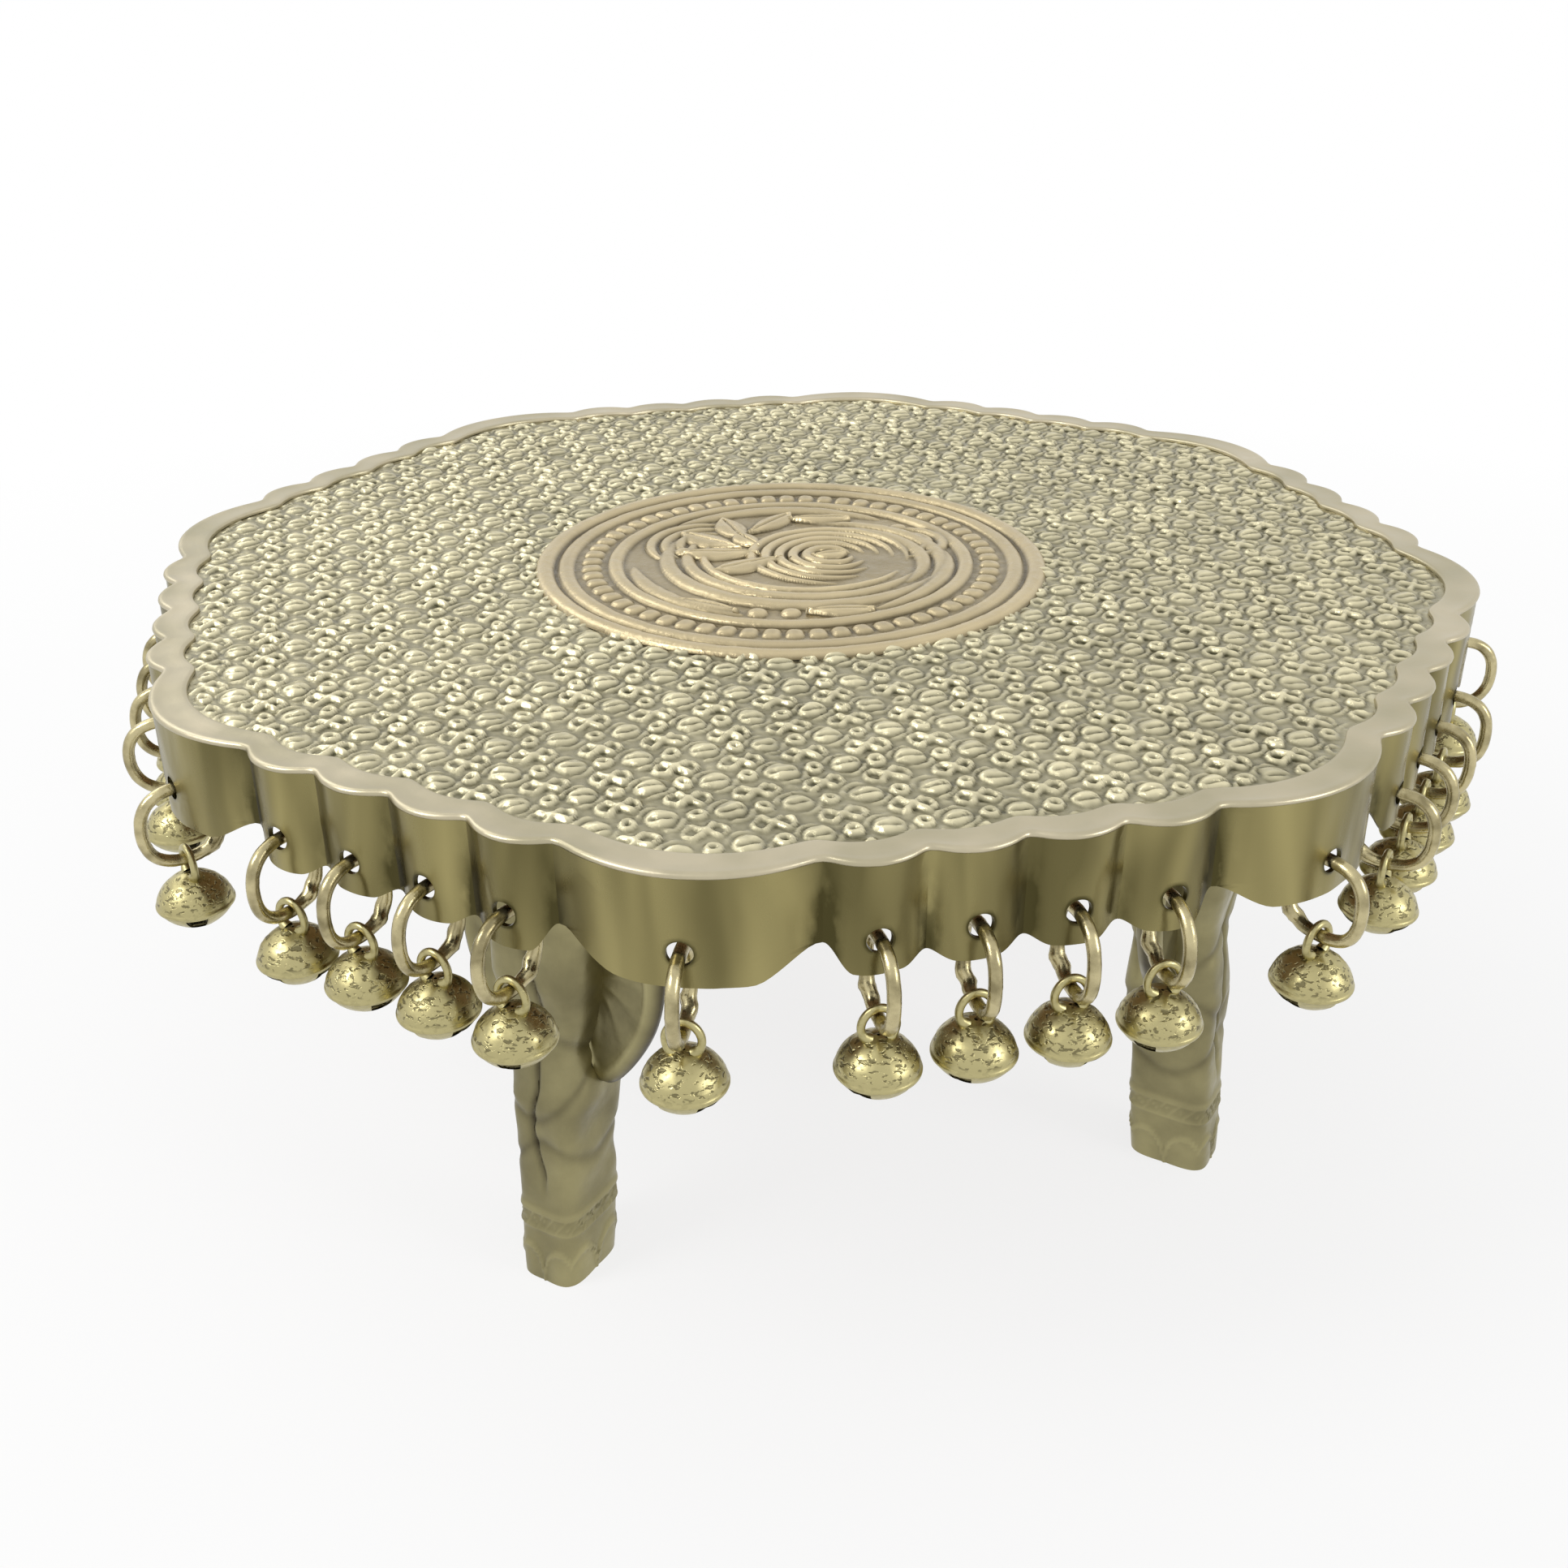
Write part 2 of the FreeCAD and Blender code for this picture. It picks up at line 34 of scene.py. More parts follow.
FIRST_SIDE_ANGLE = FIRST_CORNER_ANGLE + SIDE_STEP / 2
FRONT_SIDES = (0, 7)
LEG_ANGLES = (-112.5, -22.5, 67.5, 157.5)

# Outline of the top.
NOTCH_APOTHEM = 147.6
CORNER_NOTCH_APOTHEM = 146.8
LOBE_TIP_APOTHEM = 151.6
CORNER_TIP_RADIUS = 159.0
LOBE_PITCH = 18.0
LOBES_PER_SIDE = 4
BORDER_NOTCH_WIDTH = 6.0
BORDER_LOBE_WIDTH = 7.4
BORDER_OVERHANG = 0.4
NOTCH_SOFTNESS = 1.7

# Levels.
TABLE_HEIGHT = 140.0
SHEET_TOP = 139.4
SKIRT_FOOT = 117.6
SKIRT_THICKNESS = 0.8
HOLE_HEIGHT = 124.4
HOLE_RADIUS = 2.42
CORNER_ARCH_REACH = 14.0
CORNER_ARCH_RISE = 5.5
LOBE_ARCH_REACH = 6.0
LOBE_ARCH_RISE = 2.0
LOBE_FOOT_POINTS = 37
LOBE_END_POINTS = 15
HOLE_TO_EDGE_SHARES = (0.0, 0.03, 0.07, 0.14, 0.25, 0.4, 0.55, 0.7, 0.85, 1.0)

# Pressed pattern: a square lattice in line with the front right side.
CELL = 12.32
CELL_ORIGIN = (-15.7, -116.5)
CELL_SAMPLES = 30
RECESS_LEVEL = 138.8

# Medallion.
MEDALLION_CENTRE = (-2.4, -4.5)
MEDALLION_REACH = 62.2
MEDALLION_BEADS = 60
MEDALLION_COLUMNS = 900
MEDALLION_ROWS = 190
OUTER_MOULDING_RADIUS = 59.6
LINE_MOULDING_RADIUS = 54.4
BEAD_RING_RADIUS = 48.4
INNER_MOULDING_RADIUS = 42.6

# Where a shade compares a height with its surroundings.
FIELD_NEIGHBOURS = ((3, 0), (-3, 0), (0, 3), (0, -3), (2, 2), (2, -2), (-2, 2), (-2, -2))
MEDALLION_NEIGHBOUR_REACH = 1.3
MEDALLION_NEIGHBOUR_ANGLES = range(0, 360, 45)

# Rings and bells.
RING_SLACK = 0.2
RING_RADIUS = 8.0
WIRE_RADIUS = 1.3
KNOT_ANGLE = 225.0
BELL_DROP = 10.3
BELL_WALL = 0.7
BELL_COLUMNS = 64
BELL_SLOT_TOP = -0.6
BELL_SLOT_FOOT = -4.0
BELL_SLOT_HALF_ANGLE = 17.0
PELLET_RADIUS = 1.3
PELLET_DROP = 2.4

# Camera that sees the object as the photograph does.
CAMERA_PLACE = (0.0509, -0.3895, 0.2769)
CAMERA_TURN = (62.86, 0.31, 8.01)
CAMERA_LENS = 38.40
CAMERA_SENSOR = 36.0

# Lamps: name, place and width in metres, and power in watts; each faces the target.
LAMP_TARGET = (0.0, 0.0, 0.12)
LAMPS = (
    ("key_light", (-0.7, -0.5, 0.9), 0.45, 5.0),
    ("side_light", (0.9, -0.35, 0.5), 0.35, 2.4),
    ("back_light", (-0.75, 0.4, 0.85), 0.6, 1.8),
)

# Sockets of a colour mix node.
MIX_A, MIX_B, MIX_RESULT = 6, 7, 2


def turned(points, degrees):
    """Return plan or space points turned about +Z."""
    angle = math.radians(degrees)
    result = np.array(points, dtype=float)
    x, y = result[..., 0].copy(), result[..., 1].copy()
    result[..., 0] = x * math.cos(angle) - y * math.sin(angle)
    result[..., 1] = x * math.sin(angle) + y * math.cos(angle)
    return result


def smooth_step(value, low, high):
    """Return 0 below low, 1 above high and a smooth rise between."""
    share = np.clip((value - low) / (high - low), 0.0, 1.0)
    return share * share * (3.0 - 2.0 * share)


def dome(distance):
    """Return the height of a half-round form at a share of its reach."""
    return np.sqrt(np.clip(1.0 - distance * distance, 0.0, 1.0))


class Noise:
    """Smooth seeded noise from -1 to 1 over space."""

    SIZE = 32

    def __init__(self, seed):
        self.table = np.random.default_rng(seed).uniform(-1.0, 1.0, (self.SIZE,) * 3)

    def __call__(self, points, grain):
        """Return the noise at points (..., 3), with forms about one grain across."""
        place = np.asarray(points) / grain
        cell = np.floor(place).astype(int)
        share = place - cell
        share = share * share * (3.0 - 2.0 * share)
        total = np.zeros(place.shape[:-1])
        for corner in np.ndindex(2, 2, 2):
            index = (cell + corner) % self.SIZE
            weight = np.prod(np.where(corner, share, 1.0 - share), axis=-1)
            total += weight * self.table[index[..., 0], index[..., 1], index[..., 2]]
        return total


def grid_faces(rows, columns, closed):
    """Return quads between rows of points; a closed grid joins its last column to its first."""
    index = np.arange(rows * columns).reshape(rows, columns)
    right = np.roll(index, -1, axis=1)
    if not closed:
        index, right = index[:, :-1], right[:, :-1]
    return np.stack((index[:-1], right[:-1], right[1:], index[1:]), axis=-1).reshape(-1, 4)


def join_parts(parts):
    """Return one mesh from several (points, faces, layers) parts."""
    points, faces, layers, start = [], [], {}, 0
    for part_points, part_faces, part_layers in parts:
        points.append(part_points)
        faces.append(np.asarray(part_faces) + start)
        for name, values in part_layers.items():
            layers.setdefault(name, []).append(values)
        start += len(part_points)
    joined = {name: np.concatenate(values) for name, values in layers.items()}
    return np.concatenate(points), np.concatenate(faces), joined


def make_piece(name, part, material, body, nodes=(), sharp=None):
    """Turn one part into a piece that rides on a body and stands for CAD nodes."""
    points, faces, layers = part
    mesh = bpy.data.meshes.new(name)
    mesh.from_pydata((np.asarray(points) * MM).tolist(), [], np.asarray(faces).tolist())
    for layer, values in layers.items():
        mesh.attributes.new(layer, "FLOAT", "POINT").data.foreach_set("value", values.astype(np.float32))
    mesh.materials.append(material)
    mesh.shade_smooth()
    if sharp is not None:
        mesh.set_sharp_from_angle(angle=math.radians(sharp))
    mesh.update()
    piece = bpy.data.objects.new(name, mesh)
    bpy.context.collection.objects.link(piece)
    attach(piece, body)
    if nodes:
        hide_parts(*nodes)
    return piece


def tube(path, across, up, radii, sides):
    """Return a tube along a path, given two directions of its section at each point."""
    angle = np.linspace(0.0, 2.0 * math.pi, sides, endpoint=False)
    circle = np.stack((np.cos(angle), np.sin(angle)), axis=-1)
    points = path[:, None] + radii[:, None, None] * (
        circle[None, :, :1] * across[:, None] + circle[None, :, 1:] * up[:, None]
    )
    return points.reshape(-1, 3), grid_faces(len(path), sides, True)


# Materials


def add_node(tree, kind, inputs=None, **settings):
    """Add a node; an input given as a socket is linked, and one given as a value is set."""
    made = tree.nodes.new(kind)
    for name, value in settings.items():
        setattr(made, name, value)
    for name, value in (inputs or {}).items():
        if isinstance(value, bpy.types.NodeSocket):
            tree.links.new(value, made.inputs[name])
        else:
            made.inputs[name].default_value = value
    return made


def new_material(name):
    """Return a new material, its node tree and its shader."""
    material = bpy.data.materials.new(name)
    material.use_nodes = True
    tree = material.node_tree
    return material, tree, tree.nodes["Principled BSDF"]


def place_socket(tree, scale=(1.0, 1.0, 1.0)):
    """Return the piece's own coordinates in metres, stretched by a scale."""
    coordinates = add_node(tree, "ShaderNodeTexCoord")
    mapping = add_node(tree, "ShaderNodeMapping", {"Vector": coordinates.outputs["Object"], "Scale": scale})
    return mapping.outputs["Vector"]


def noise_socket(tree, scale, detail=3.0, stretch=(1.0, 1.0, 1.0), distortion=0.0):
    """Return noise with a number of forms per metre."""
    made = add_node(
        tree,
        "ShaderNodeTexNoise",
        {"Vector": place_socket(tree, stretch), "Scale": scale, "Detail": detail, "Distortion": distortion},
    )
    return made.outputs["Fac"]


def ramp_socket(tree, value, low, high, from_value=0.0, to_value=1.0):
    """Return a value moved from one range to another, clamped."""
    made = add_node(
        tree,
        "ShaderNodeMapRange",
        {"Value": value, "From Min": low, "From Max": high, "To Min": from_value, "To Max": to_value},
    )
    return made.outputs["Result"]


def math_socket(tree, operation, first, second):
    """Return a sum, product or the like of two values."""
    made = add_node(tree, "ShaderNodeMath", {0: first, 1: second}, operation=operation)
    return made.outputs["Value"]


def mix_socket(tree, share, first, second):
    """Return a colour between two colours."""
    made = add_node(tree, "ShaderNodeMix", {0: share, MIX_A: first, MIX_B: second}, data_type="RGBA")
    return made.outputs[MIX_RESULT]


def layer_socket(tree, name):
    """Return a value that the mesh carries at its points."""
    return add_node(tree, "ShaderNodeAttribute", attribute_name=name).outputs["Fac"]


def set_bump(tree, shader, height, depth):
    """Give the shader a bump of one depth in millimetres."""
    bump = add_node(tree, "ShaderNodeBump", {"Height": height, "Strength": 1.0, "Distance": depth * MM})
    tree.links.new(bump.outputs["Normal"], shader.inputs["Normal"])


def grain(scale, detail, stretch=(1.0, 1.0, 1.0)):
    """Return a maker of plain noise."""
    return lambda tree: noise_socket(tree, scale, detail, stretch)


def mottle(low, high, scale, detail, stretch=(1.0, 1.0, 1.0)):
    """Return a maker of noise spread between two values."""
    return lambda tree: ramp_socket(tree, noise_socket(tree, scale, detail, stretch), 0.3, 0.7, low, high)


def metal_material(name, bright, dark, share, roughness, bump, depth):
    """Return a metal between a dark and a bright colour."""
    material, tree, shader = new_material(name)
    colour = mix_socket(tree, share(tree), (*dark, 1.0), (*bright, 1.0))
    tree.links.new(colour, shader.inputs["Base Color"])
    tree.links.new(roughness(tree), shader.inputs["Roughness"])
    shader.inputs["Metallic"].default_value = 1.0
    set_bump(tree, shader, bump(tree), depth)
    return material


def silver_material(name, bright, dark):
    """Pressed silver: patina and painted shade darken its recesses, and its high places are polished and
    carry painted highlights.
    """

    def share(tree):
        patches = ramp_socket(tree, noise_socket(tree, 55.0, 4.0), 0.3, 0.7, -0.08, 0.08)
        # The relief layer holds patina with painted shade in the recesses and painted highlight on the high
        # places; the patches are random tone.
        return ramp_socket(tree, math_socket(tree, "ADD", layer_socket(tree, "relief"), patches), 0.0, 1.0)

    return metal_material(name, bright, dark, share, mottle(0.24, 0.4, 500.0, 3.0), grain(900.0, 4.0), 0.12)


def border_material():
    """Smooth pale metal with faint wiping marks."""

    def share(tree):
        return ramp_socket(tree, noise_socket(tree, 60.0, 6.0), 0.3, 0.65)

    bright, dark = (0.56, 0.50, 0.36), (0.42, 0.38, 0.25)
    roughness, bump = mottle(0.3, 0.44, 240.0, 5.0), grain(700.0, 4.0)
    return metal_material("border_metal", bright, dark, share, roughness, bump, 0.03)


def skirt_material():
    """Satin olive brass with painted upright highlight stripes, a painted highlight on each lobe's crown and
    patches of painted shade near the notches, round the ring holes and on the inner face.
    """

    def share(tree):
        # Painted upright highlight stripes, with a painted highlight on each lobe's crown added.
        highlight_streaks = noise_socket(tree, 62.0, 2.0, stretch=(1.0, 1.0, 0.25), distortion=0.5)
        painted_sheen = ramp_socket(tree, highlight_streaks, 0.34, 0.7, 0.17, 0.85)
        crown_highlight = math_socket(tree, "MULTIPLY", layer_socket(tree, "crown"), 0.06)
        painted_sheen = math_socket(tree, "ADD", painted_sheen, crown_highlight)
        # Patches of painted shade, taken from the skirt's painted shade layer.
        shade_patches = ramp_socket(tree, noise_socket(tree, 260.0, 6.0, stretch=(1.0, 1.0, 0.5)), 0.36, 0.56, 0.25)
        painted_shade = math_socket(tree, "MULTIPLY", layer_socket(tree, "painted_shade"), shade_patches)
        return math_socket(tree, "SUBTRACT", painted_sheen, painted_shade)

    bright, dark = (0.40, 0.345, 0.15), (0.07, 0.06, 0.022)
    roughness, bump = mottle(0.22, 0.4, 180.0, 5.0, (1.0, 1.0, 0.2)), grain(160.0, 4.0, (1.0, 1.0, 0.35))
    return metal_material("skirt_metal", bright, dark, share, roughness, bump, 0.12)


def ring_material():
    """Cast brass wire, smoothed by wear."""

    def share(tree):
        return ramp_socket(tree, noise_socket(tree, 220.0, 5.0), 0.3, 0.6, 0.2, 1.0)

    bright, dark = (0.56, 0.49, 0.28), (0.18, 0.15, 0.075)
    roughness, bump = mottle(0.2, 0.36, 600.0, 3.0), grain(420.0, 3.0)
    return metal_material("ring_brass", bright, dark, share, roughness, bump, 0.15)


def pit_socket(tree):
    """Return noise that is low in the short dents of a hammered bell."""
    return noise_socket(tree, 950.0, 2.0, stretch=(0.75, 0.75, 1.5), distortion=0.5)


def bell_material():
    """Cast brass with a hammered, pitted dome and painted shade over its inner face."""

    def share(tree):
        pits = ramp_socket(tree, pit_socket(tree), 0.385, 0.45, 0.28, 0.82)
        smooth = math_socket(tree, "SUBTRACT", 1.0, layer_socket(tree, "hammered"))
        outside = math_socket(tree, "MAXIMUM", pits, math_socket(tree, "MULTIPLY", smooth, 0.72))
        # The inner face is painted dark as shade.
        return math_socket(tree, "SUBTRACT", outside, layer_socket(tree, "inside"))

    def bump(tree):
        pits = ramp_socket(tree, pit_socket(tree), 0.34, 0.47)
        return math_socket(tree, "MULTIPLY", pits, layer_socket(tree, "hammered"))

    bright, dark = (0.56, 0.50, 0.25), (0.06, 0.05, 0.025)
    return metal_material("bell_brass", bright, dark, share, mottle(0.26, 0.44, 800.0, 3.0), bump, 0.1)


def leg_material():
    """Olive metal cladding with painted shade in its folds, seam and ear edges, and painted highlights on
    its raised bands, teeth, nails, ear rims and veins.
    """

    def share(tree):
        patches = ramp_socket(tree, noise_socket(tree, 60.0, 5.0), 0.3, 0.7, -0.2, 0.2)
        return math_socket(tree, "ADD", layer_socket(tree, "relief"), patches)

    bright, dark = (0.39, 0.35, 0.18), (0.06, 0.05, 0.03)
    roughness, bump = mottle(0.3, 0.48, 200.0, 3.0), grain(260.0, 4.0)
    return metal_material("leg_metal", bright, dark, share, roughness, bump, 0.12)


def wood_material(name, light, dark):
    """Plain sawn wood with its grain along X."""
    material, tree, shader = new_material(name)
    grain = noise_socket(tree, 90.0, 6.0, stretch=(0.06, 1.0, 1.0), distortion=0.8)
    colour = mix_socket(tree, ramp_socket(tree, grain, 0.35, 0.65), (*dark, 1.0), (*light, 1.0))
    tree.links.new(colour, shader.inputs["Base Color"])
    shader.inputs["Roughness"].default_value = 0.75
    set_bump(tree, shader, grain, 0.2)
    return material


def steel_material():
    """Plain bolt steel with a little rust."""
    material, tree, shader = new_material("bolt_steel")
    rust = ramp_socket(tree, noise_socket(tree, 300.0, 5.0), 0.55, 0.7)
    colour = mix_socket(tree, rust, (0.42, 0.42, 0.41, 1.0), (0.22, 0.1, 0.05, 1.0))
    tree.links.new(colour, shader.inputs["Base Color"])
    tree.links.new(ramp_socket(tree, rust, 0.0, 1.0, 0.35, 0.8), shader.inputs["Roughness"])
    shader.inputs["Metallic"].default_value = 1.0
    return material


# Outline of the top


def arc_points(start, middle, end, shares):
    """Return points at shares of the arc through three plan points."""
    a, b, c = (np.array(point, dtype=float) for point in (start, middle, end))
    ab, ac = b - a, c - a
    twice_area = 2.0 * (ab[0] * ac[1] - ab[1] * ac[0])
    square_ab, square_ac = ab @ ab, ac @ ac
    centre = a + np.array([
        ac[1] * square_ab - ab[1] * square_ac,
        ab[0] * square_ac - ac[0] * square_ab,
    ]) / twice_area
    first = math.atan2(*(a - centre)[::-1])
    sweep = (math.atan2(*(c - centre)[::-1]) - first) % (2.0 * math.pi)
    angles = first + sweep * np.asarray(shares)
    return centre + np.linalg.norm(a - centre) * np.stack((np.cos(angles), np.sin(angles)), axis=-1)


def outline_arcs(notch, corner_notch, lobe_tip, corner_tip):
    """Return the lobes of the top as (start, middle, end, first notch at corner, last at corner)."""
    arcs = []
    half = LOBES_PER_SIDE / 2
    offsets = [(index - half) * LOBE_PITCH for index in range(LOBES_PER_SIDE + 1)]
    heights = [corner_notch] + [notch] * (LOBES_PER_SIDE - 1) + [corner_notch]
    for side in range(SIDES):
        angle = FIRST_SIDE_ANGLE + side * SIDE_STEP
        ends = turned(list(zip(heights, offsets)), angle)
        for index in range(LOBES_PER_SIDE):
            tip = turned((lobe_tip, (offsets[index] + offsets[index + 1]) / 2), angle)
            arcs.append((ends[index], tip, ends[index + 1], index == 0, index == LOBES_PER_SIDE - 1))
        corner = turned((corner_tip, 0.0), angle + SIDE_STEP / 2)
        following = turned((corner_notch, offsets[0]), angle + SIDE_STEP)
        arcs.append((ends[-1], corner, following, True, True))
    return arcs


def outer_arcs():
    """Return the lobes of the skirt's outer face."""
    return outline_arcs(NOTCH_APOTHEM, CORNER_NOTCH_APOTHEM, LOBE_TIP_APOTHEM, CORNER_TIP_RADIUS)


def inner_arcs():
    """Return the lobes of the border's inner edge."""
    return outline_arcs(
        NOTCH_APOTHEM - BORDER_NOTCH_WIDTH,
        CORNER_NOTCH_APOTHEM - BORDER_NOTCH_WIDTH,
        LOBE_TIP_APOTHEM - BORDER_LOBE_WIDTH,
        CORNER_TIP_RADIUS - BORDER_LOBE_WIDTH,
    )


class Outline:
    """Closed line round the lobes, with its notches rounded."""

    SAMPLES = 64
    STEP = 0.25

    def __init__(self, arcs):
        shares = np.arange(self.SAMPLES) / self.SAMPLES
        rough = np.concatenate([arc_points(*arc[:3], shares) for arc in arcs])
        closed = np.concatenate((rough, rough[:1]))
        along = np.concatenate(([0.0], np.cumsum(np.linalg.norm(np.diff(closed, axis=0), axis=1))))
        self.length = along[-1]
        self.starts = along[::self.SAMPLES]
        count = int(self.length / self.STEP)
        self.even = np.arange(count) * self.length / count
        line = np.interp(self.even, along, closed[:, 0]) + 1j * np.interp(self.even, along, closed[:, 1])
        waves = np.fft.fftfreq(count, self.length / count)
        soft = np.exp(-2.0 * (math.pi * waves * NOTCH_SOFTNESS) ** 2)
        self.line = np.fft.ifft(np.fft.fft(line) * soft)
        slope = np.roll(self.line, -1) - np.roll(self.line, 1)
        self.normal = -1j * slope / abs(slope)

    def at(self, along):
        """Return plan points and outward normals at distances along the line."""
        found = []
        for values in (self.line, self.normal):
            value = np.interp(along, self.even, values, period=self.length)
            found.append(np.stack((value.real, value.imag), axis=-1))
        return found

    def loop(self, count, offset=0.0):
        """Return points all round, with one number of points in each lobe."""
        shares = np.arange(count) / count
        along = self.starts[:-1, None] + np.diff(self.starts)[:, None] * shares
        points, normals = self.at(along.reshape(-1))
        return points + offset * normals


# Top


def cell_height(across, along):
    """Return the pressed height of one cell: a slit bean, small rings, florets and a bare recess."""
    half = CELL / 2
    reach = np.hypot(across / 2.95, along / 3.1)
    lid = along - 0.8 + 0.09 * across ** 2
    slit = 0.95 * np.exp(-(lid / 0.36) ** 2) * smooth_step(-abs(across), -2.5, -1.3)
    bean = np.where(reach < 1.0, np.maximum(1.4 * dome(reach) ** 1.3 - slit, 0.05), 0.0)
    around = np.arctan2(along, across)
    brim = 0.5 * dome((reach - 1.3) / 0.2) * smooth_step(np.cos(2.0 * around - 1.9), -0.5, 0.5)
    ring_across = abs(across) - half
    from_ring = np.hypot(ring_across, along * 0.95)
    ring = 0.95 * dome((from_ring - 1.25) / 0.65)
    floret_along = abs(along) - half
    from_floret = np.hypot(ring_across, floret_along)
    arm = abs(abs(ring_across) - abs(floret_along)) / math.sqrt(2.0)
    arms = 1.05 * dome(arm / 0.75) ** 1.2 * smooth_step(-from_floret, -4.4, -2.6)
    boss = 1.2 * dome(from_floret / 1.35) ** 1.2
    curl_reach = np.hypot((abs(ring_across) - 2.6) / 1.35, floret_along / 1.7)
    curls = 0.75 * dome((curl_reach - 1.0) / 0.34) * smooth_step(abs(ring_across), 1.9, 2.9)
    return np.maximum.reduce([bean, brim, ring, arms, boss, curls])


def stand_out(height, neighbours):
    """Return patina with painted shade and highlight: dark in the crevices, bright on what stands above its
    surroundings.
    """
    return np.clip(0.4 + 0.72 * (height - np.mean(neighbours, axis=0)) + 0.2 * height, 0.0, 1.0)


def border_distance(points):
    """Return how far plan points lie inside the border's inner edge."""
    edge = Outline(inner_arcs()).loop(16)
    edge_angle = np.arctan2(edge[:, 1], edge[:, 0])
    order = np.argsort(edge_angle)
    edge_radius = np.hypot(edge[:, 0], edge[:, 1])[order]
    angle = np.arctan2(points[..., 1], points[..., 0])
    radius = np.interp(angle, edge_angle[order], edge_radius, period=2.0 * math.pi)
    return radius - np.hypot(points[..., 0], points[..., 1])


def top_field_part():
    """Return the pressed sheet between the medallion and the border."""
    reach = math.ceil((CORNER_TIP_RADIUS + np.hypot(*CELL_ORIGIN)) / CELL) * CELL_SAMPLES
    lattice = np.arange(-reach, reach + 1) * CELL / CELL_SAMPLES
    across, along = np.meshgrid(lattice, lattice, indexing="ij")
    plan = turned(np.stack((across, -along), axis=-1), SIDE_STEP / 2) + np.array(CELL_ORIGIN)
    inside = border_distance(plan)
    from_medallion = np.hypot(plan[..., 0] - MEDALLION_CENTRE[0], plan[..., 1] - MEDALLION_CENTRE[1])
    space = np.concatenate((plan, np.zeros_like(plan[..., :1])), axis=-1)
    shift_across = 0.55 * Noise(3)(space, 8.0) + 0.34 * Noise(14)(space, 2.8)
    shift_along = 0.55 * Noise(4)(space, 8.0) + 0.34 * Noise(15)(space, 2.8)
    local_across = (across + shift_across + CELL / 2) % CELL - CELL / 2
    local_along = (along + shift_along + CELL / 2) % CELL - CELL / 2
    strength = 0.88 + 0.28 * Noise(5)(space, 6.0)
    height = cell_height(local_across, local_along) * strength
    height *= smooth_step(inside + 1.2 * Noise(16)(space, 7.0), -0.4, 2.6)
    height = np.maximum(height + 0.08 * Noise(6)(space, 0.9) + 0.2 * Noise(19)(space, 2.0), 0.0)
    # Patina with painted shade in the crevices and painted highlight on the high places.
    shade = stand_out(height, [np.roll(height, step, axis=(0, 1)) for step in FIELD_NEIGHBOURS])
    level = RECESS_LEVEL + height
    points = np.concatenate((plan, level[..., None]), axis=-1).reshape(-1, 3)
    wanted = (inside > -2.0) & (from_medallion > MEDALLION_REACH - 3.0)
    faces = grid_faces(*across.shape, False)
    faces = faces[wanted.reshape(-1)[faces].all(axis=1)]
    used, faces = np.unique(faces, return_inverse=True)
    return points[used], faces.reshape(-1, 4), {"relief": shade.reshape(-1)[used]}


def arc_ridge(x, y, centre, radius, first, last, width):
    """Return a ridge along an arc that tapers to both ends."""
    angle = np.degrees(np.arctan2(y - centre[1], x - centre[0])) - first
    share = (angle % 360.0) / (last - first)
    taper = np.sqrt(np.clip(4.0 * share * (1.0 - share), 0.0, 1.0))
    distance = abs(np.hypot(x - centre[0], y - centre[1]) - radius)
    return np.where(share < 1.0, taper * dome(distance / (width * np.maximum(taper, 0.05))), 0.0)


def leaf_ridge(x, y, centre, degrees, length, width):
    """Return a leaf with a middle vein."""
    local = turned(np.stack((x - centre[0], y - centre[1]), axis=-1), -degrees)
    share = local[..., 0] / length
    reach = width * np.clip(1.0 - share ** 2, 0.0, 1.0) * (1.0 + 0.45 * share)
    body = dome(local[..., 1] / np.maximum(reach, 0.01)) * (abs(share) < 1.0)
    vein = 0.5 * np.exp(-(local[..., 1] / 0.35) ** 2) * (abs(share) < 0.8)
    return np.maximum(body - vein, 0.0)


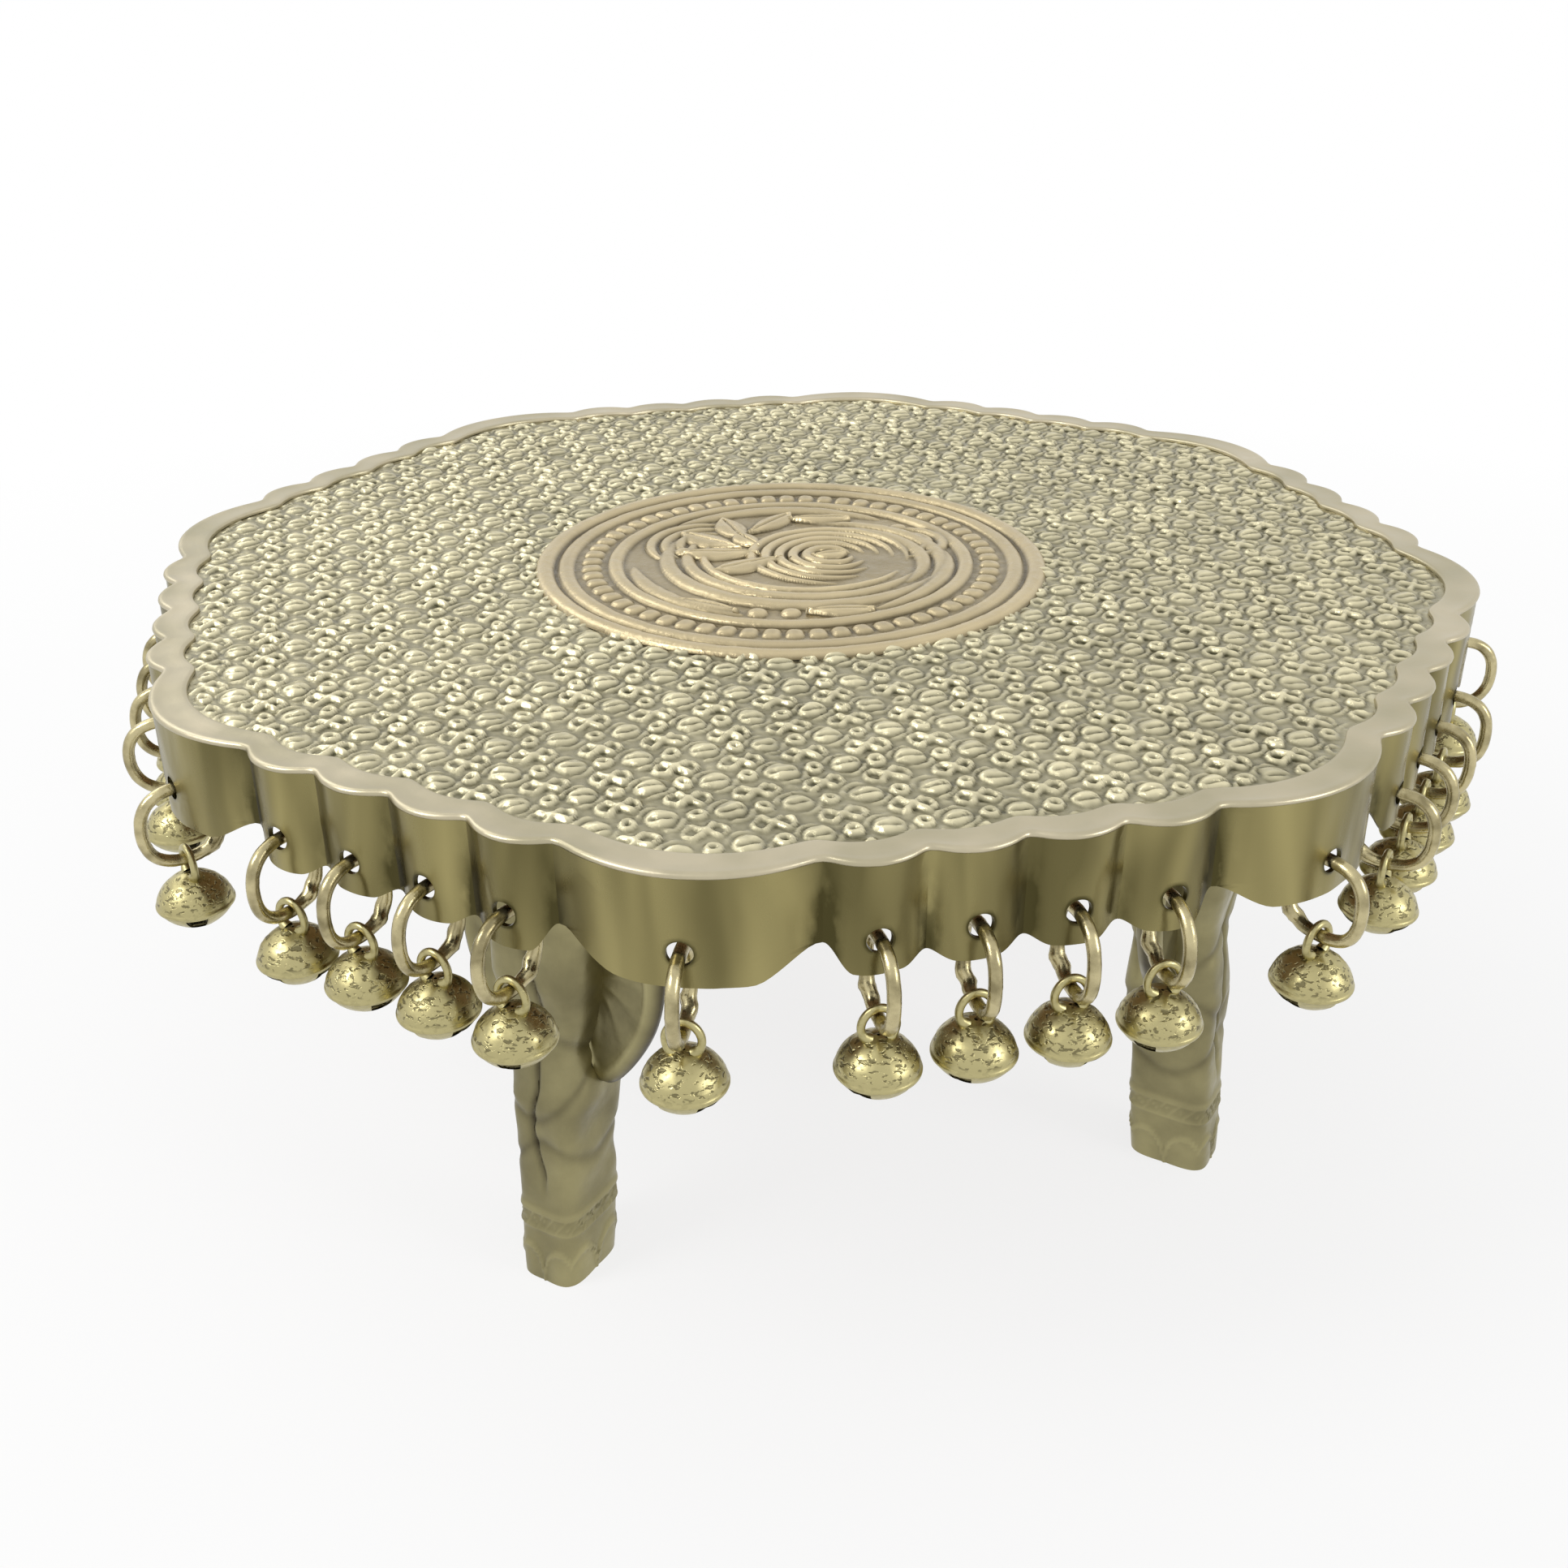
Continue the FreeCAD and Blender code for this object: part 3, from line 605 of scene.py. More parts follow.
def swirl_height(x, y):
    """Return the relief inside the medallion: crescents, a swirl, leaves and small bosses."""
    layers = []
    for radius, width in ((24.6, 1.5), (28.6, 2.1), (33.6, 2.6)):
        layers.append(1.2 * arc_ridge(x, y, (3.0, 3.0), radius, 160.0, 345.0, width))
    for index, radius in enumerate((5.5, 8.9, 12.3, 15.7, 19.1)):
        first, last = 30.0 - 8.0 * index, 372.0 - 22.0 * index
        layers.append(1.15 * arc_ridge(x, y, (9.0, 4.0), radius, first, last, 1.5))
    for radius in (24.4, 28.8):
        layers.append(1.1 * arc_ridge(x, y, (8.0, 0.0), radius, -30.0, 100.0, 2.1))
    for radius in (9.0, 12.6, 16.2):
        layers.append(1.0 * arc_ridge(x, y, (-20.0, 8.0), radius, 95.0, 235.0, 1.5))
    for radius in (6.5, 10.2):
        layers.append(1.0 * arc_ridge(x, y, (26.0, 16.0), radius, -80.0, 110.0, 1.5))
    for first, last, width in ((195.0, 262.0, 2.4), (-52.0, 20.0, 2.1), (60.0, 150.0, 2.4)):
        layers.append(1.1 * arc_ridge(x, y, (0.0, 0.0), 38.2, first, last, width))
    leaves = (
        ((-21.5, 10.0), 150.0, 10.0, 4.2),
        ((-17.5, 19.5), 118.0, 9.5, 3.9),
        ((-9.0, 26.0), 62.0, 9.5, 3.6),
        ((-17.5, 1.5), 188.0, 9.5, 3.9),
        ((-9.5, -5.5), 218.0, 9.5, 4.0),
        ((-12.5, 12.0), 130.0, 6.0, 3.2),
        ((9.0, 4.0), 20.0, 4.6, 2.6),
        ((16.0, -33.0), 12.0, 8.0, 3.2),
        ((-14.0, -34.0), 160.0, 8.0, 2.8),
        ((3.0, 31.5), 8.0, 8.5, 3.0),
    )
    for centre, degrees, length, width in leaves:
        layers.append(1.3 * leaf_ridge(x, y, centre, degrees, length, width))
    for boss in ((5.0, -35.5), (-2.5, -36.5), (-27.0, 2.0), (24.0, 27.0)):
        layers.append(1.1 * dome(np.hypot(x - boss[0], y - boss[1]) / 2.4))
    return np.maximum.reduce(layers)


def medallion_height(x, y):
    """Return the height of the medallion: mouldings, a ring of beads and the relief inside."""
    radius, angle = np.hypot(x, y), np.arctan2(y, x)
    outer = 1.4 * dome((radius - OUTER_MOULDING_RADIUS) / 2.3)
    line = 0.2 + 0.95 * dome((radius - LINE_MOULDING_RADIUS) / 2.0)
    inner = 0.2 + 1.1 * dome((radius - INNER_MOULDING_RADIUS) / 1.9)
    bead_angle = (angle * MEDALLION_BEADS / (2.0 * math.pi)) % 1.0 - 0.5
    bead_reach = (abs(bead_angle) / 0.42) ** 3 + (abs(radius - BEAD_RING_RADIUS) / 2.5) ** 3
    beads = 0.1 + 0.95 * np.sqrt(np.clip(1.0 - bead_reach, 0.0, 1.0))
    relief = (0.2 + swirl_height(x, y)) * (radius < 41.4)
    layers = [outer, line * (radius < 57.4), inner * (radius < 57.4), beads * (radius < 52.4), relief]
    return np.maximum.reduce(layers) * (radius < 61.9)


def medallion_part():
    """Return the round medallion, with patina and painted shade in its crevices and painted highlights on
    its high places.
    """
    angle, radius = np.meshgrid(
        np.linspace(0.0, 2.0 * math.pi, MEDALLION_COLUMNS, endpoint=False),
        MEDALLION_REACH * np.linspace(0.004, 1.0, MEDALLION_ROWS),
    )
    x, y = radius * np.cos(angle), radius * np.sin(angle)
    height = medallion_height(x, y)
    steps = [turned((MEDALLION_NEIGHBOUR_REACH, 0.0), degrees) for degrees in MEDALLION_NEIGHBOUR_ANGLES]
    # Patina with painted shade in the crevices and painted highlight on the high places.
    shade = stand_out(height, [medallion_height(x + step[0], y + step[1]) for step in steps])
    space = np.stack((x, y, np.zeros_like(x)), axis=-1)
    height += 0.08 * Noise(7)(space, 3.4) + 0.03 * Noise(18)(space, 1.2)
    centre_x, centre_y = MEDALLION_CENTRE
    points = np.stack((x + centre_x, y + centre_y, RECESS_LEVEL + 0.1 + height), axis=-1).reshape(-1, 3)
    return points, grid_faces(MEDALLION_ROWS, MEDALLION_COLUMNS, True), {"relief": shade.reshape(-1)}


def make_top(silver, warm_silver):
    """Pressed sheet with its medallion."""
    make_piece("top_field", top_field_part(), silver, "table", ("top_sheet",))
    make_piece("medallion", medallion_part(), warm_silver, "table")


def make_border(material):
    """Smooth border: a rounded inner edge, a flat and a rolled outer edge."""
    count = 26
    inner = Outline(inner_arcs()).loop(count)
    outer = Outline(outer_arcs()).loop(count, BORDER_OVERHANG)
    profile = (
        (0.0, -1.1), (0.0, -0.45), (0.02, -0.2), (0.06, -0.06), (0.14, -0.02), (0.35, -0.1), (0.6, -0.12),
        (0.76, -0.02), (0.84, 0.08), (0.9, 0.08), (0.95, -0.04), (0.985, -0.28), (1.0, -0.62), (0.99, -0.95),
        (0.95, -1.05),
    )
    rows = []
    for share, rise in profile:
        plan = inner * (1.0 - share) + outer * share
        rows.append(np.concatenate((plan, np.full((len(plan), 1), TABLE_HEIGHT + rise)), axis=1))
    points = np.concatenate(rows)
    points[:, 2] += 0.06 * Noise(8)(points, 16.0)
    faces = grid_faces(len(profile), len(inner), True)
    make_piece("rim_border_metal", (points, faces, {}), material, "table", ("rim_border",))


def foot_rise(along, length, at_corner, first_corner, last_corner):
    """Return how far a lobe's lower edge rises near the notches at its two ends."""
    reach = CORNER_ARCH_REACH if at_corner else LOBE_ARCH_REACH
    rise = np.zeros_like(along)
    for distance, corner_notch in ((along, first_corner), (length - along, last_corner)):
        height = CORNER_ARCH_RISE if corner_notch else LOBE_ARCH_RISE
        rise = np.maximum(rise, height * smooth_step(-distance, -reach, 0.0))
    return rise


def lobe_sheet(length, foot):
    """Return one lobe laid flat, in rows of (along, height) from hole to edge, and how far from its hole."""
    level = np.linspace(0.0, 1.0, LOBE_END_POINTS)
    along = np.linspace(0.0, 1.0, len(foot))
    bottom = np.stack((along * length, foot), axis=-1)
    top = np.stack((along[::-1] * length, np.full(len(along), SHEET_TOP)), axis=-1)
    right = np.stack((np.full(len(level), length), foot[-1] + (SHEET_TOP - foot[-1]) * level), axis=-1)
    left = np.stack((np.zeros(len(level)), SHEET_TOP + (foot[0] - SHEET_TOP) * level), axis=-1)
    edge = np.concatenate((bottom[:-1], right[:-1], top[:-1], left[:-1]))
    centre = np.array((length / 2, HOLE_HEIGHT))
    direction = edge - centre
    hole = centre + HOLE_RADIUS * direction / np.linalg.norm(direction, axis=1)[:, None]
    shares = np.array(HOLE_TO_EDGE_SHARES)[:, None, None]
    flat = hole * (1.0 - shares) + edge * shares
    return flat, np.linalg.norm(flat - centre, axis=-1) - HOLE_RADIUS


def skirt_patch(outline, index, arc):
    """Return one lobe of the skirt: a curved plate with a ring hole and a small lip round it."""
    at_corner = arc[3] and arc[4]
    start, length = outline.starts[index], outline.starts[index + 1] - outline.starts[index]
    along = np.linspace(0.0, 1.0, LOBE_FOOT_POINTS)
    foot = SKIRT_FOOT + foot_rise(along * length, length, at_corner, *arc[3:])
    flat, from_hole = lobe_sheet(length, foot)
    plan, normals = outline.at(start + flat[..., 0])
    space = np.concatenate((plan, flat[..., 1:]), axis=-1)
    dents = 0.3 * Noise(9)(space * (1.0, 1.0, 0.3), 6.0) + 0.1 * Noise(17)(space * (1.0, 1.0, 0.5), 2.6)
    dents *= smooth_step(from_hole, 0.0, 3.0)
    lip = 0.1 * np.exp(-(from_hole / 0.5) ** 2)
    outer_and_inner = []
    for push in (dents + lip, dents - SKIRT_THICKNESS):
        face = np.concatenate((plan + normals * push[..., None], flat[..., 1:]), axis=-1)
        outer_and_inner.append(face.reshape(-1, 3))
    notch = np.minimum(flat[..., 0], length - flat[..., 0])
    number = index + (flat[..., 0] > length / 2)
    # Painted shade: in the notches, with a random strength at each notch and stronger towards the foot,
    # round the ring hole, and over the whole inner face.
    strength = np.random.default_rng(100).uniform(0.15, 1.0, len(outline.starts))
    strength[-1] = strength[0]
    low = 1.0 - smooth_step(flat[..., 1], SKIRT_FOOT + 3.0, SHEET_TOP - 1.0)
    painted_shade = strength[number] * (1.0 - smooth_step(notch, 0.4, 4.5)) * (0.25 + 0.9 * low)
    painted_shade += 0.7 * np.exp(-(from_hole / 0.45) ** 2)
    inner_painted_shade = np.ones(painted_shade.size)
    # Share away from the notches, which carries the painted highlight on each lobe's crown.
    crown = smooth_step(notch, 0.0, 7.0)
    shades = {
        "painted_shade": np.concatenate((np.clip(painted_shade, 0.0, 1.0).reshape(-1), inner_painted_shade)),
        "crown": np.tile(crown.reshape(-1), 2),
    }
    return np.concatenate(outer_and_inner), plate_faces(*flat.shape[:2]), shades


def plate_faces(rows, columns):
    """Return the faces of a plate of two layers, each of rows round a hole, with its two rims."""
    size = rows * columns
    faces = grid_faces(rows, columns, True)
    hole = np.arange(columns)
    following = np.roll(hole, -1)
    edge, edge_following = size - columns + hole, size - columns + following
    rims = np.concatenate((
        np.stack((hole, hole + size, following + size, following), axis=-1),
        np.stack((edge, edge_following, edge_following + size, edge + size), axis=-1),
    ))
    return np.concatenate((faces, faces[:, ::-1] + size, rims))


def welded(part):
    """Return a part with its coinciding points made one."""
    points, faces, layers = part
    _, first, number = np.unique(np.round(points, 3), axis=0, return_index=True, return_inverse=True)
    number = number.reshape(-1)
    return points[first], number[faces], {name: values[first] for name, values in layers.items()}


def make_skirt(material):
    """Thin scalloped band under the border."""
    arcs = outer_arcs()
    outline = Outline(arcs)
    part = welded(join_parts([skirt_patch(outline, index, arc) for index, arc in enumerate(arcs)]))
    make_piece("skirt_metal_band", part, material, "table", ("skirt_band",), sharp=50.0)


# Rings and bells


def hanging_nodes():
    """Return the name, direction and plan places of each node of rings or bells."""
    half = SKIRT_THICKNESS / 2
    middle = (LOBES_PER_SIDE - 1) / 2
    lobes = [(LOBE_TIP_APOTHEM - half, (index - middle) * LOBE_PITCH) for index in range(LOBES_PER_SIDE)]
    nodes = []
    for corner in range(SIDES):
        places = [(CORNER_TIP_RADIUS - half, 0.0)]
        nodes.append((f"corner_{corner + 1}", FIRST_CORNER_ANGLE + corner * SIDE_STEP, places))
    for side in range(SIDES):
        angle = FIRST_SIDE_ANGLE + side * SIDE_STEP
        if side in FRONT_SIDES:
            for index, place in enumerate(lobes):
                nodes.append((f"side_{side + 1}_{index + 1}", angle, [place]))
        else:
            nodes.append((f"side_{side + 1}", angle, lobes))
    return nodes


def ring_part(seed):
    """Return a bent ring in the XZ plane, its top at the origin, with its ends beaten into a knot."""
    random = np.random.default_rng(seed)
    count, sides = 76, 14
    turn = np.linspace(0.0, 360.0, count)
    angle = np.radians(turn + KNOT_ANGLE)
    squareness = random.uniform(0.03, 0.085)
    radius = RING_RADIUS * (1.0 + squareness * (0.5 - 0.5 * np.cos(4.0 * angle)))
    outward = np.stack((np.cos(angle), np.zeros(count), np.sin(angle)), axis=-1)
    sideways = np.tile((0.0, 1.0, 0.0), (count, 1))
    knot = np.exp(-(np.minimum(turn, 360.0 - turn) / 17.0) ** 2)
    path = outward * radius[:, None] - np.array((0.0, 0.0, RING_RADIUS + RING_SLACK))
    path[:, 1] += 0.35 * knot * np.sin(np.radians(turn * 9.0))
    points, faces = tube(path, outward, sideways, WIRE_RADIUS * (1.0 + 0.32 * knot), sides)
    middle = np.repeat(path, sides, axis=0)
    hammer = Noise(int(random.integers(1000)))
    dents = (0.06 + 0.2 * np.repeat(knot, sides)) * hammer(points, 1.7)
    return welded((middle + (points - middle) * (1.0 - abs(dents))[:, None], faces, {}))


def bell_profile():
    """Return the bell's outer profile from its crown to its foot as (radius, height)."""
    dome_rows = [
        (0.3, 6.9), (1.6, 6.75), (3.0, 6.25), (4.4, 5.45), (5.7, 4.4), (6.7, 3.2), (7.35, 2.0), (7.7, 1.0)
    ]
    rim_rows = [(7.72, 0.7), (7.85, 0.55), (7.95, 0.3), (7.95, 0.0), (7.85, -0.25), (7.55, -0.4)]
    bowl_rows = [(7.4, -0.7), (7.1, -1.2), (6.6, -1.85), (6.0, -2.5), (5.3, -3.1), (4.5, -3.7)]
    foot_rows = [(3.6, -4.15), (2.6, -4.5), (1.4, -4.72), (0.05, -4.8)]
    return np.array(smooth_rows(dome_rows, 3) + rim_rows + bowl_rows + foot_rows)


def smooth_rows(corners, count):
    """Return rows of points on a smooth open curve through a few corners."""
    corners = np.asarray(corners, dtype=float)
    padded = np.concatenate((2.0 * corners[:1] - corners[1:2], corners, 2.0 * corners[-1:] - corners[-2:-1]))
    rows = []
    for index in range(len(corners) - 1):
        rows += curve_span(padded[index:index + 4], count).tolist()
    return rows + [corners[-1].tolist()]


def curve_span(four, count):
    """Return points on the smooth curve between the middle two of four points."""
    a, b, c, d = four
    share = np.arange(count)[:, None] / count
    return 0.5 * (
        2.0 * b + (c - a) * share + (2.0 * a - 5.0 * b + 4.0 * c - d) * share ** 2
        + (3.0 * b - a - 3.0 * c + d) * share ** 3
    )


def bell_part(seed, spin):
    """Return a rattle bell with its widest edge at height zero: a slotted shell, a loop and a pellet."""
    profile = bell_profile()
    angle = np.linspace(0.0, 2.0 * math.pi, BELL_COLUMNS, endpoint=False)
    shell_points, hammered, inside = [], [], []
    slot_rows = (profile[:, 1] < BELL_SLOT_TOP) & (profile[:, 1] > BELL_SLOT_FOOT)
    slot_columns = abs((np.degrees(angle) + 45.0) % 90.0 - 45.0) < BELL_SLOT_HALF_ANGLE
    hammer = Noise(seed)
    for depth in (0.0, BELL_WALL):
        radius = np.maximum(profile[:, 0] - depth, 0.02)
        height = profile[:, 1] * (1.0 - depth / 6.0)
        grid = np.stack((
            radius[:, None] * np.cos(angle),
            radius[:, None] * np.sin(angle),
            np.tile(height[:, None], (1, BELL_COLUMNS)),
        ), axis=-1)
        on_dome = smooth_step(profile[:, 1], 0.9, 2.0)[:, None] * np.ones(BELL_COLUMNS)
        grid *= (1.0 + 0.008 * (hammer(grid, 1.5) + hammer(grid, 0.8)) * on_dome)[..., None]
        shell_points.append(grid.reshape(-1, 3))
        hammered.append(on_dome.reshape(-1))
        # Marks the inner face, which the bell material paints dark as shade.
        inside.append(np.full(on_dome.size, float(depth > 0.0)))
    faces = grid_faces(len(profile), BELL_COLUMNS, True)
    open_point = (slot_rows[:, None] & slot_columns[None]).reshape(-1)
    slotted = open_point[faces].all(axis=1)
    kept = faces[~slotted]
    size = len(shell_points[0])
    removed = faces[slotted]
    edges = np.concatenate([removed[:, [i, (i + 1) % 4]] for i in range(4)])
    keys = {tuple(edge) for edge in edges.tolist()}
    walls = [(a, b, b + size, a + size) for a, b in keys if (b, a) not in keys]
    shell_faces = np.concatenate((kept[:, ::-1], kept + size, np.array(walls)))
    shell = turned(np.concatenate(shell_points), spin)
    return shell, shell_faces, {"hammered": np.concatenate(hammered), "inside": np.concatenate(inside)}


def loop_part():
    """Return the pear-shaped wire loop on the bell's crown, round the ring's wire."""
    top = BELL_DROP + WIRE_RADIUS + 0.95
    share = np.linspace(-1.0, 1.0, 37)
    angle = share * math.radians(150.0)
    width = 3.25
    path = np.stack((
        np.zeros_like(angle),
        width * np.sin(angle) * (1.0 - 0.08 * np.cos(angle)),
        top - 3.4 * (1.0 - np.cos(angle)),
    ), axis=-1)
    direction = np.gradient(path, axis=0)
    direction /= np.linalg.norm(direction, axis=1)[:, None]
    across = np.tile((1.0, 0.0, 0.0), (len(path), 1))
    up = np.cross(direction, across)
    radii = 0.78 + 0.5 * smooth_step(abs(share), 0.72, 1.0)
    points, faces = tube(path, across, up, radii, 12)
    return points, faces, {"hammered": np.zeros(len(points)), "inside": np.zeros(len(points))}


def pellet_part():
    """Return the loose ball inside a bell."""
    rows, columns = 9, 14
    polar, angle = np.meshgrid(
        np.linspace(0.01, math.pi - 0.01, rows),
        np.linspace(0.0, 2.0 * math.pi, columns, endpoint=False),
        indexing="ij",
    )
    points = PELLET_RADIUS * np.stack((
        np.sin(polar) * np.cos(angle), np.sin(polar) * np.sin(angle), np.cos(polar)
    ), axis=-1).reshape(-1, 3)
    points[:, 2] -= PELLET_DROP
    plain = np.zeros(len(points))
    return points, grid_faces(rows, columns, True), {"hammered": plain, "inside": plain}


def make_hangings(ring_metal, bell_metal):
    """Every ring through its skirt hole and every bell on its ring."""
    random = np.random.default_rng(11)
    bell_height = HOLE_HEIGHT - RING_SLACK - 2.0 * RING_RADIUS - BELL_DROP
    for name, angle, places in hanging_nodes():
        rings, bells = [], []
        for x, y in places:
            points, faces, layers = ring_part(int(random.integers(10000)))
            rings.append((turned(points + (x, y, HOLE_HEIGHT), angle), faces, layers))
            spin = random.uniform(0.0, 90.0)
            for piece in (bell_part(int(random.integers(10000)), spin), loop_part(), pellet_part()):
                placed = turned(piece[0] + (x, y, bell_height), angle)
                bells.append((placed, piece[1], piece[2]))
        ring_node, bell_node = f"ring_{name}", f"bell_{name}"
        make_piece(f"{ring_node}_wire", join_parts(rings), ring_metal, ring_node, (ring_node,))
        make_piece(f"{bell_node}_cast", join_parts(bells), bell_metal, bell_node, (bell_node,))


# Legs

LEG_TOP = 127.6
LEG_RADIUS = 109.0
LEG_LEAN = 10.0
LEG_DEPTH = 20.5
LEG_WIDTH = 16.5
LEG_SQUARENESS = 4.5
EAR_REACH = 26.0
EAR_TOP = 99.0
EAR_BOTTOM = 52.0
EAR_THICKNESS = 5.0
EAR_SETBACK = 2.0

# Leg outline: share of the leg height, share of the depth, share of the width.
LEG_SHARES = (
    (0.0, 0.93, 0.9),
    (0.06, 0.97, 0.95),
    (0.24, 1.0, 1.0),
    (0.38, 1.16, 1.14),
    (0.48, 1.0, 1.05),
    (0.62, 1.26, 1.5),
    (0.82, 1.26, 1.65),
    (1.0, 1.1, 1.55),
)

# Ear outline: share of the ear's reach, share of its height.
EAR_SHARES = ((0.3, 0.98), (0.72, 1.0), (1.0, 0.7), (0.9, 0.34), (0.5, 0.0), (0.3, 0.1))


def leg_column_part():
    """Return the leg's column facing +X, with its foot, bands and folds pressed in."""
    rows, columns = 150, 96
    height = np.linspace(0.0, LEG_TOP, rows)[:, None]
    shares = np.array(LEG_SHARES)
    depth = LEG_DEPTH / 2 * np.interp(height / LEG_TOP, shares[:, 0], shares[:, 1])
    width = LEG_WIDTH / 2 * np.interp(height / LEG_TOP, shares[:, 0], shares[:, 2])
    angle = np.linspace(0.0, 2.0 * math.pi, columns, endpoint=False)[None]
    cosine, sine = np.cos(angle), np.sin(angle)
    power = LEG_SQUARENESS
    round_off = (abs(cosine) ** power + abs(sine) ** power) ** (-1.0 / power)
    across = width * sine * round_off
    outward = depth * cosine * round_off
    bands = 0.5 * (dome((height - 14.3) / 0.6) + dome((height - 19.2) / 0.6))
    around = angle * 20.0 / (2.0 * math.pi)
    zigzag = 16.7 + 1.4 * (abs((around * 2.0) % 2.0 - 1.0) * 2.0 - 1.0)
    teeth = 0.3 * dome((height - zigzag) / 0.5)
    on_front = abs(cosine) > abs(sine)
    nail_half = np.where(on_front, width, depth) / 2
    nail_reach = np.hypot((abs(np.where(on_front, across, outward)) - nail_half) / nail_half, height / 9.0)
    nails = 0.45 * dome((nail_reach - 1.0) / 0.1) + 0.3 * dome(nail_reach)
    folds = np.zeros_like(across + height)
    for level, tilt in ((34.0, 4.0), (49.0, -5.0), (63.0, 4.0)):
        bend = level + tilt * np.cos(angle * 2.0) + 2.5 * np.sin(angle)
        folds = np.maximum(folds, 0.45 * np.exp(-((height - bend) / 1.5) ** 2))
    wander = 1.6 * np.sin(height / 9.0) + 0.7 * np.sin(height / 3.7)
    seam = 0.9 * np.exp(-((across - wander) / 0.7) ** 2) * (cosine > 0.0) * smooth_step(height, 22.0, 32.0)
    raised = np.maximum.reduce([bands + 0.0 * across, teeth, nails])
    relief = raised - folds - seam
    centre = -LEG_LEAN * height / LEG_TOP
    grid = np.stack((centre + outward, across, height + 0.0 * across), axis=-1)
    soft = 0.9 * Noise(12)(grid, 10.0) * smooth_step(height, 20.0, 30.0)
    push = np.stack((cosine + 0.0 * height, sine + 0.0 * height, np.zeros_like(across)), axis=-1)
    grid = grid + push * (relief + soft)[..., None]
    points = np.concatenate((grid.reshape(-1, 3), np.zeros((1, 3))))
    fan = [(rows * columns, (index + 1) % columns, index, index) for index in range(columns)]
    faces = np.concatenate((grid_faces(rows, columns, True), fan))
    # Painted shade in the folds and seam, painted highlight on the raised bands, teeth and nails.
    shade = np.clip(0.62 + 0.5 * relief, 0.0, 1.0).reshape(-1)
    return points, faces, {"relief": np.concatenate((shade, [0.5]))}


def smooth_loop(corners, count):
    """Return points on a smooth closed curve through a few corners."""
    corners = np.asarray(corners, dtype=float)
    wrapped = np.concatenate((corners[-1:], corners, corners[:2]))
    return np.concatenate([curve_span(wrapped[index:index + 4], count) for index in range(len(corners))])


def ear_part(sign):
    """Return one ear panel: a dished leaf with a raised rim and veins."""
    outline = smooth_loop(EAR_SHARES, 10)
    edge_height = EAR_BOTTOM + (EAR_TOP - EAR_BOTTOM) * outline[:, 1]
    edge = np.stack((sign * EAR_REACH * outline[:, 0], edge_height), axis=-1)
    root = np.array((sign * EAR_REACH * 0.35, (EAR_TOP + EAR_BOTTOM) / 2 + 3.0))
    shares = np.linspace(0.02, 1.0, 16)
    angle = np.arctan2(edge[:, 1] - root[1], edge[:, 0] - root[0])
    middle = (EAR_TOP + EAR_BOTTOM) / 2 / LEG_TOP
    centre = -LEG_LEAN * middle
    panels = ((centre - EAR_SETBACK + EAR_THICKNESS, 1.0), (centre - EAR_SETBACK, -1.0))
    parts = []
    for level, facing in panels:
        rows, reliefs = [], []
        for share in shares:
            plan = root * (1.0 - share) + edge * share
            veins = 0.18 * np.cos(angle * 5.0 + 3.0 * share) ** 8 * (share > 0.25) * (share < 0.8)
            rim = 0.6 * np.exp(-((share - 0.86) / 0.06) ** 2)
            relief = np.maximum(veins, rim) - 1.9 * smooth_step(share, 0.93, 1.0)
            rows.append(np.column_stack((level + facing * relief, plan)))
            reliefs.append(relief)
        panel_faces = grid_faces(len(shares), len(edge), True)
        if facing * sign < 0:
            panel_faces = panel_faces[:, ::-1]
        # Painted shade on the ear's turned edge, painted highlight on its rim and veins.
        shade = np.clip(0.5 + 0.6 * np.concatenate(reliefs), 0.0, 1.0)
        parts.append((np.concatenate(rows), panel_faces, {"relief": shade}))
    points, found, layers = join_parts(parts)
    size = len(shares) * len(edge)
    rim = size - len(edge) + np.arange(len(edge))
    following = np.roll(rim, -1)
    wall = np.stack((rim, following, following + size, rim + size), axis=-1)
    if sign < 0:
        wall = wall[:, ::-1]
    return points, np.concatenate((found, wall)), layers


def make_legs(material):
    """Four clad legs with elephant ears."""
    for number, angle in enumerate(LEG_ANGLES, start=1):
        parts = []
        for points, faces, layers in (leg_column_part(), ear_part(-1), ear_part(1)):
            parts.append((turned(points + (LEG_RADIUS, 0.0, 0.0), angle), faces, layers))
        node = f"leg_cladding_{number}"
        piece = join_parts(parts)
        make_piece(f"leg_{number}_cladding", piece, material, "table", (node,), sharp=60.0)


# Stage


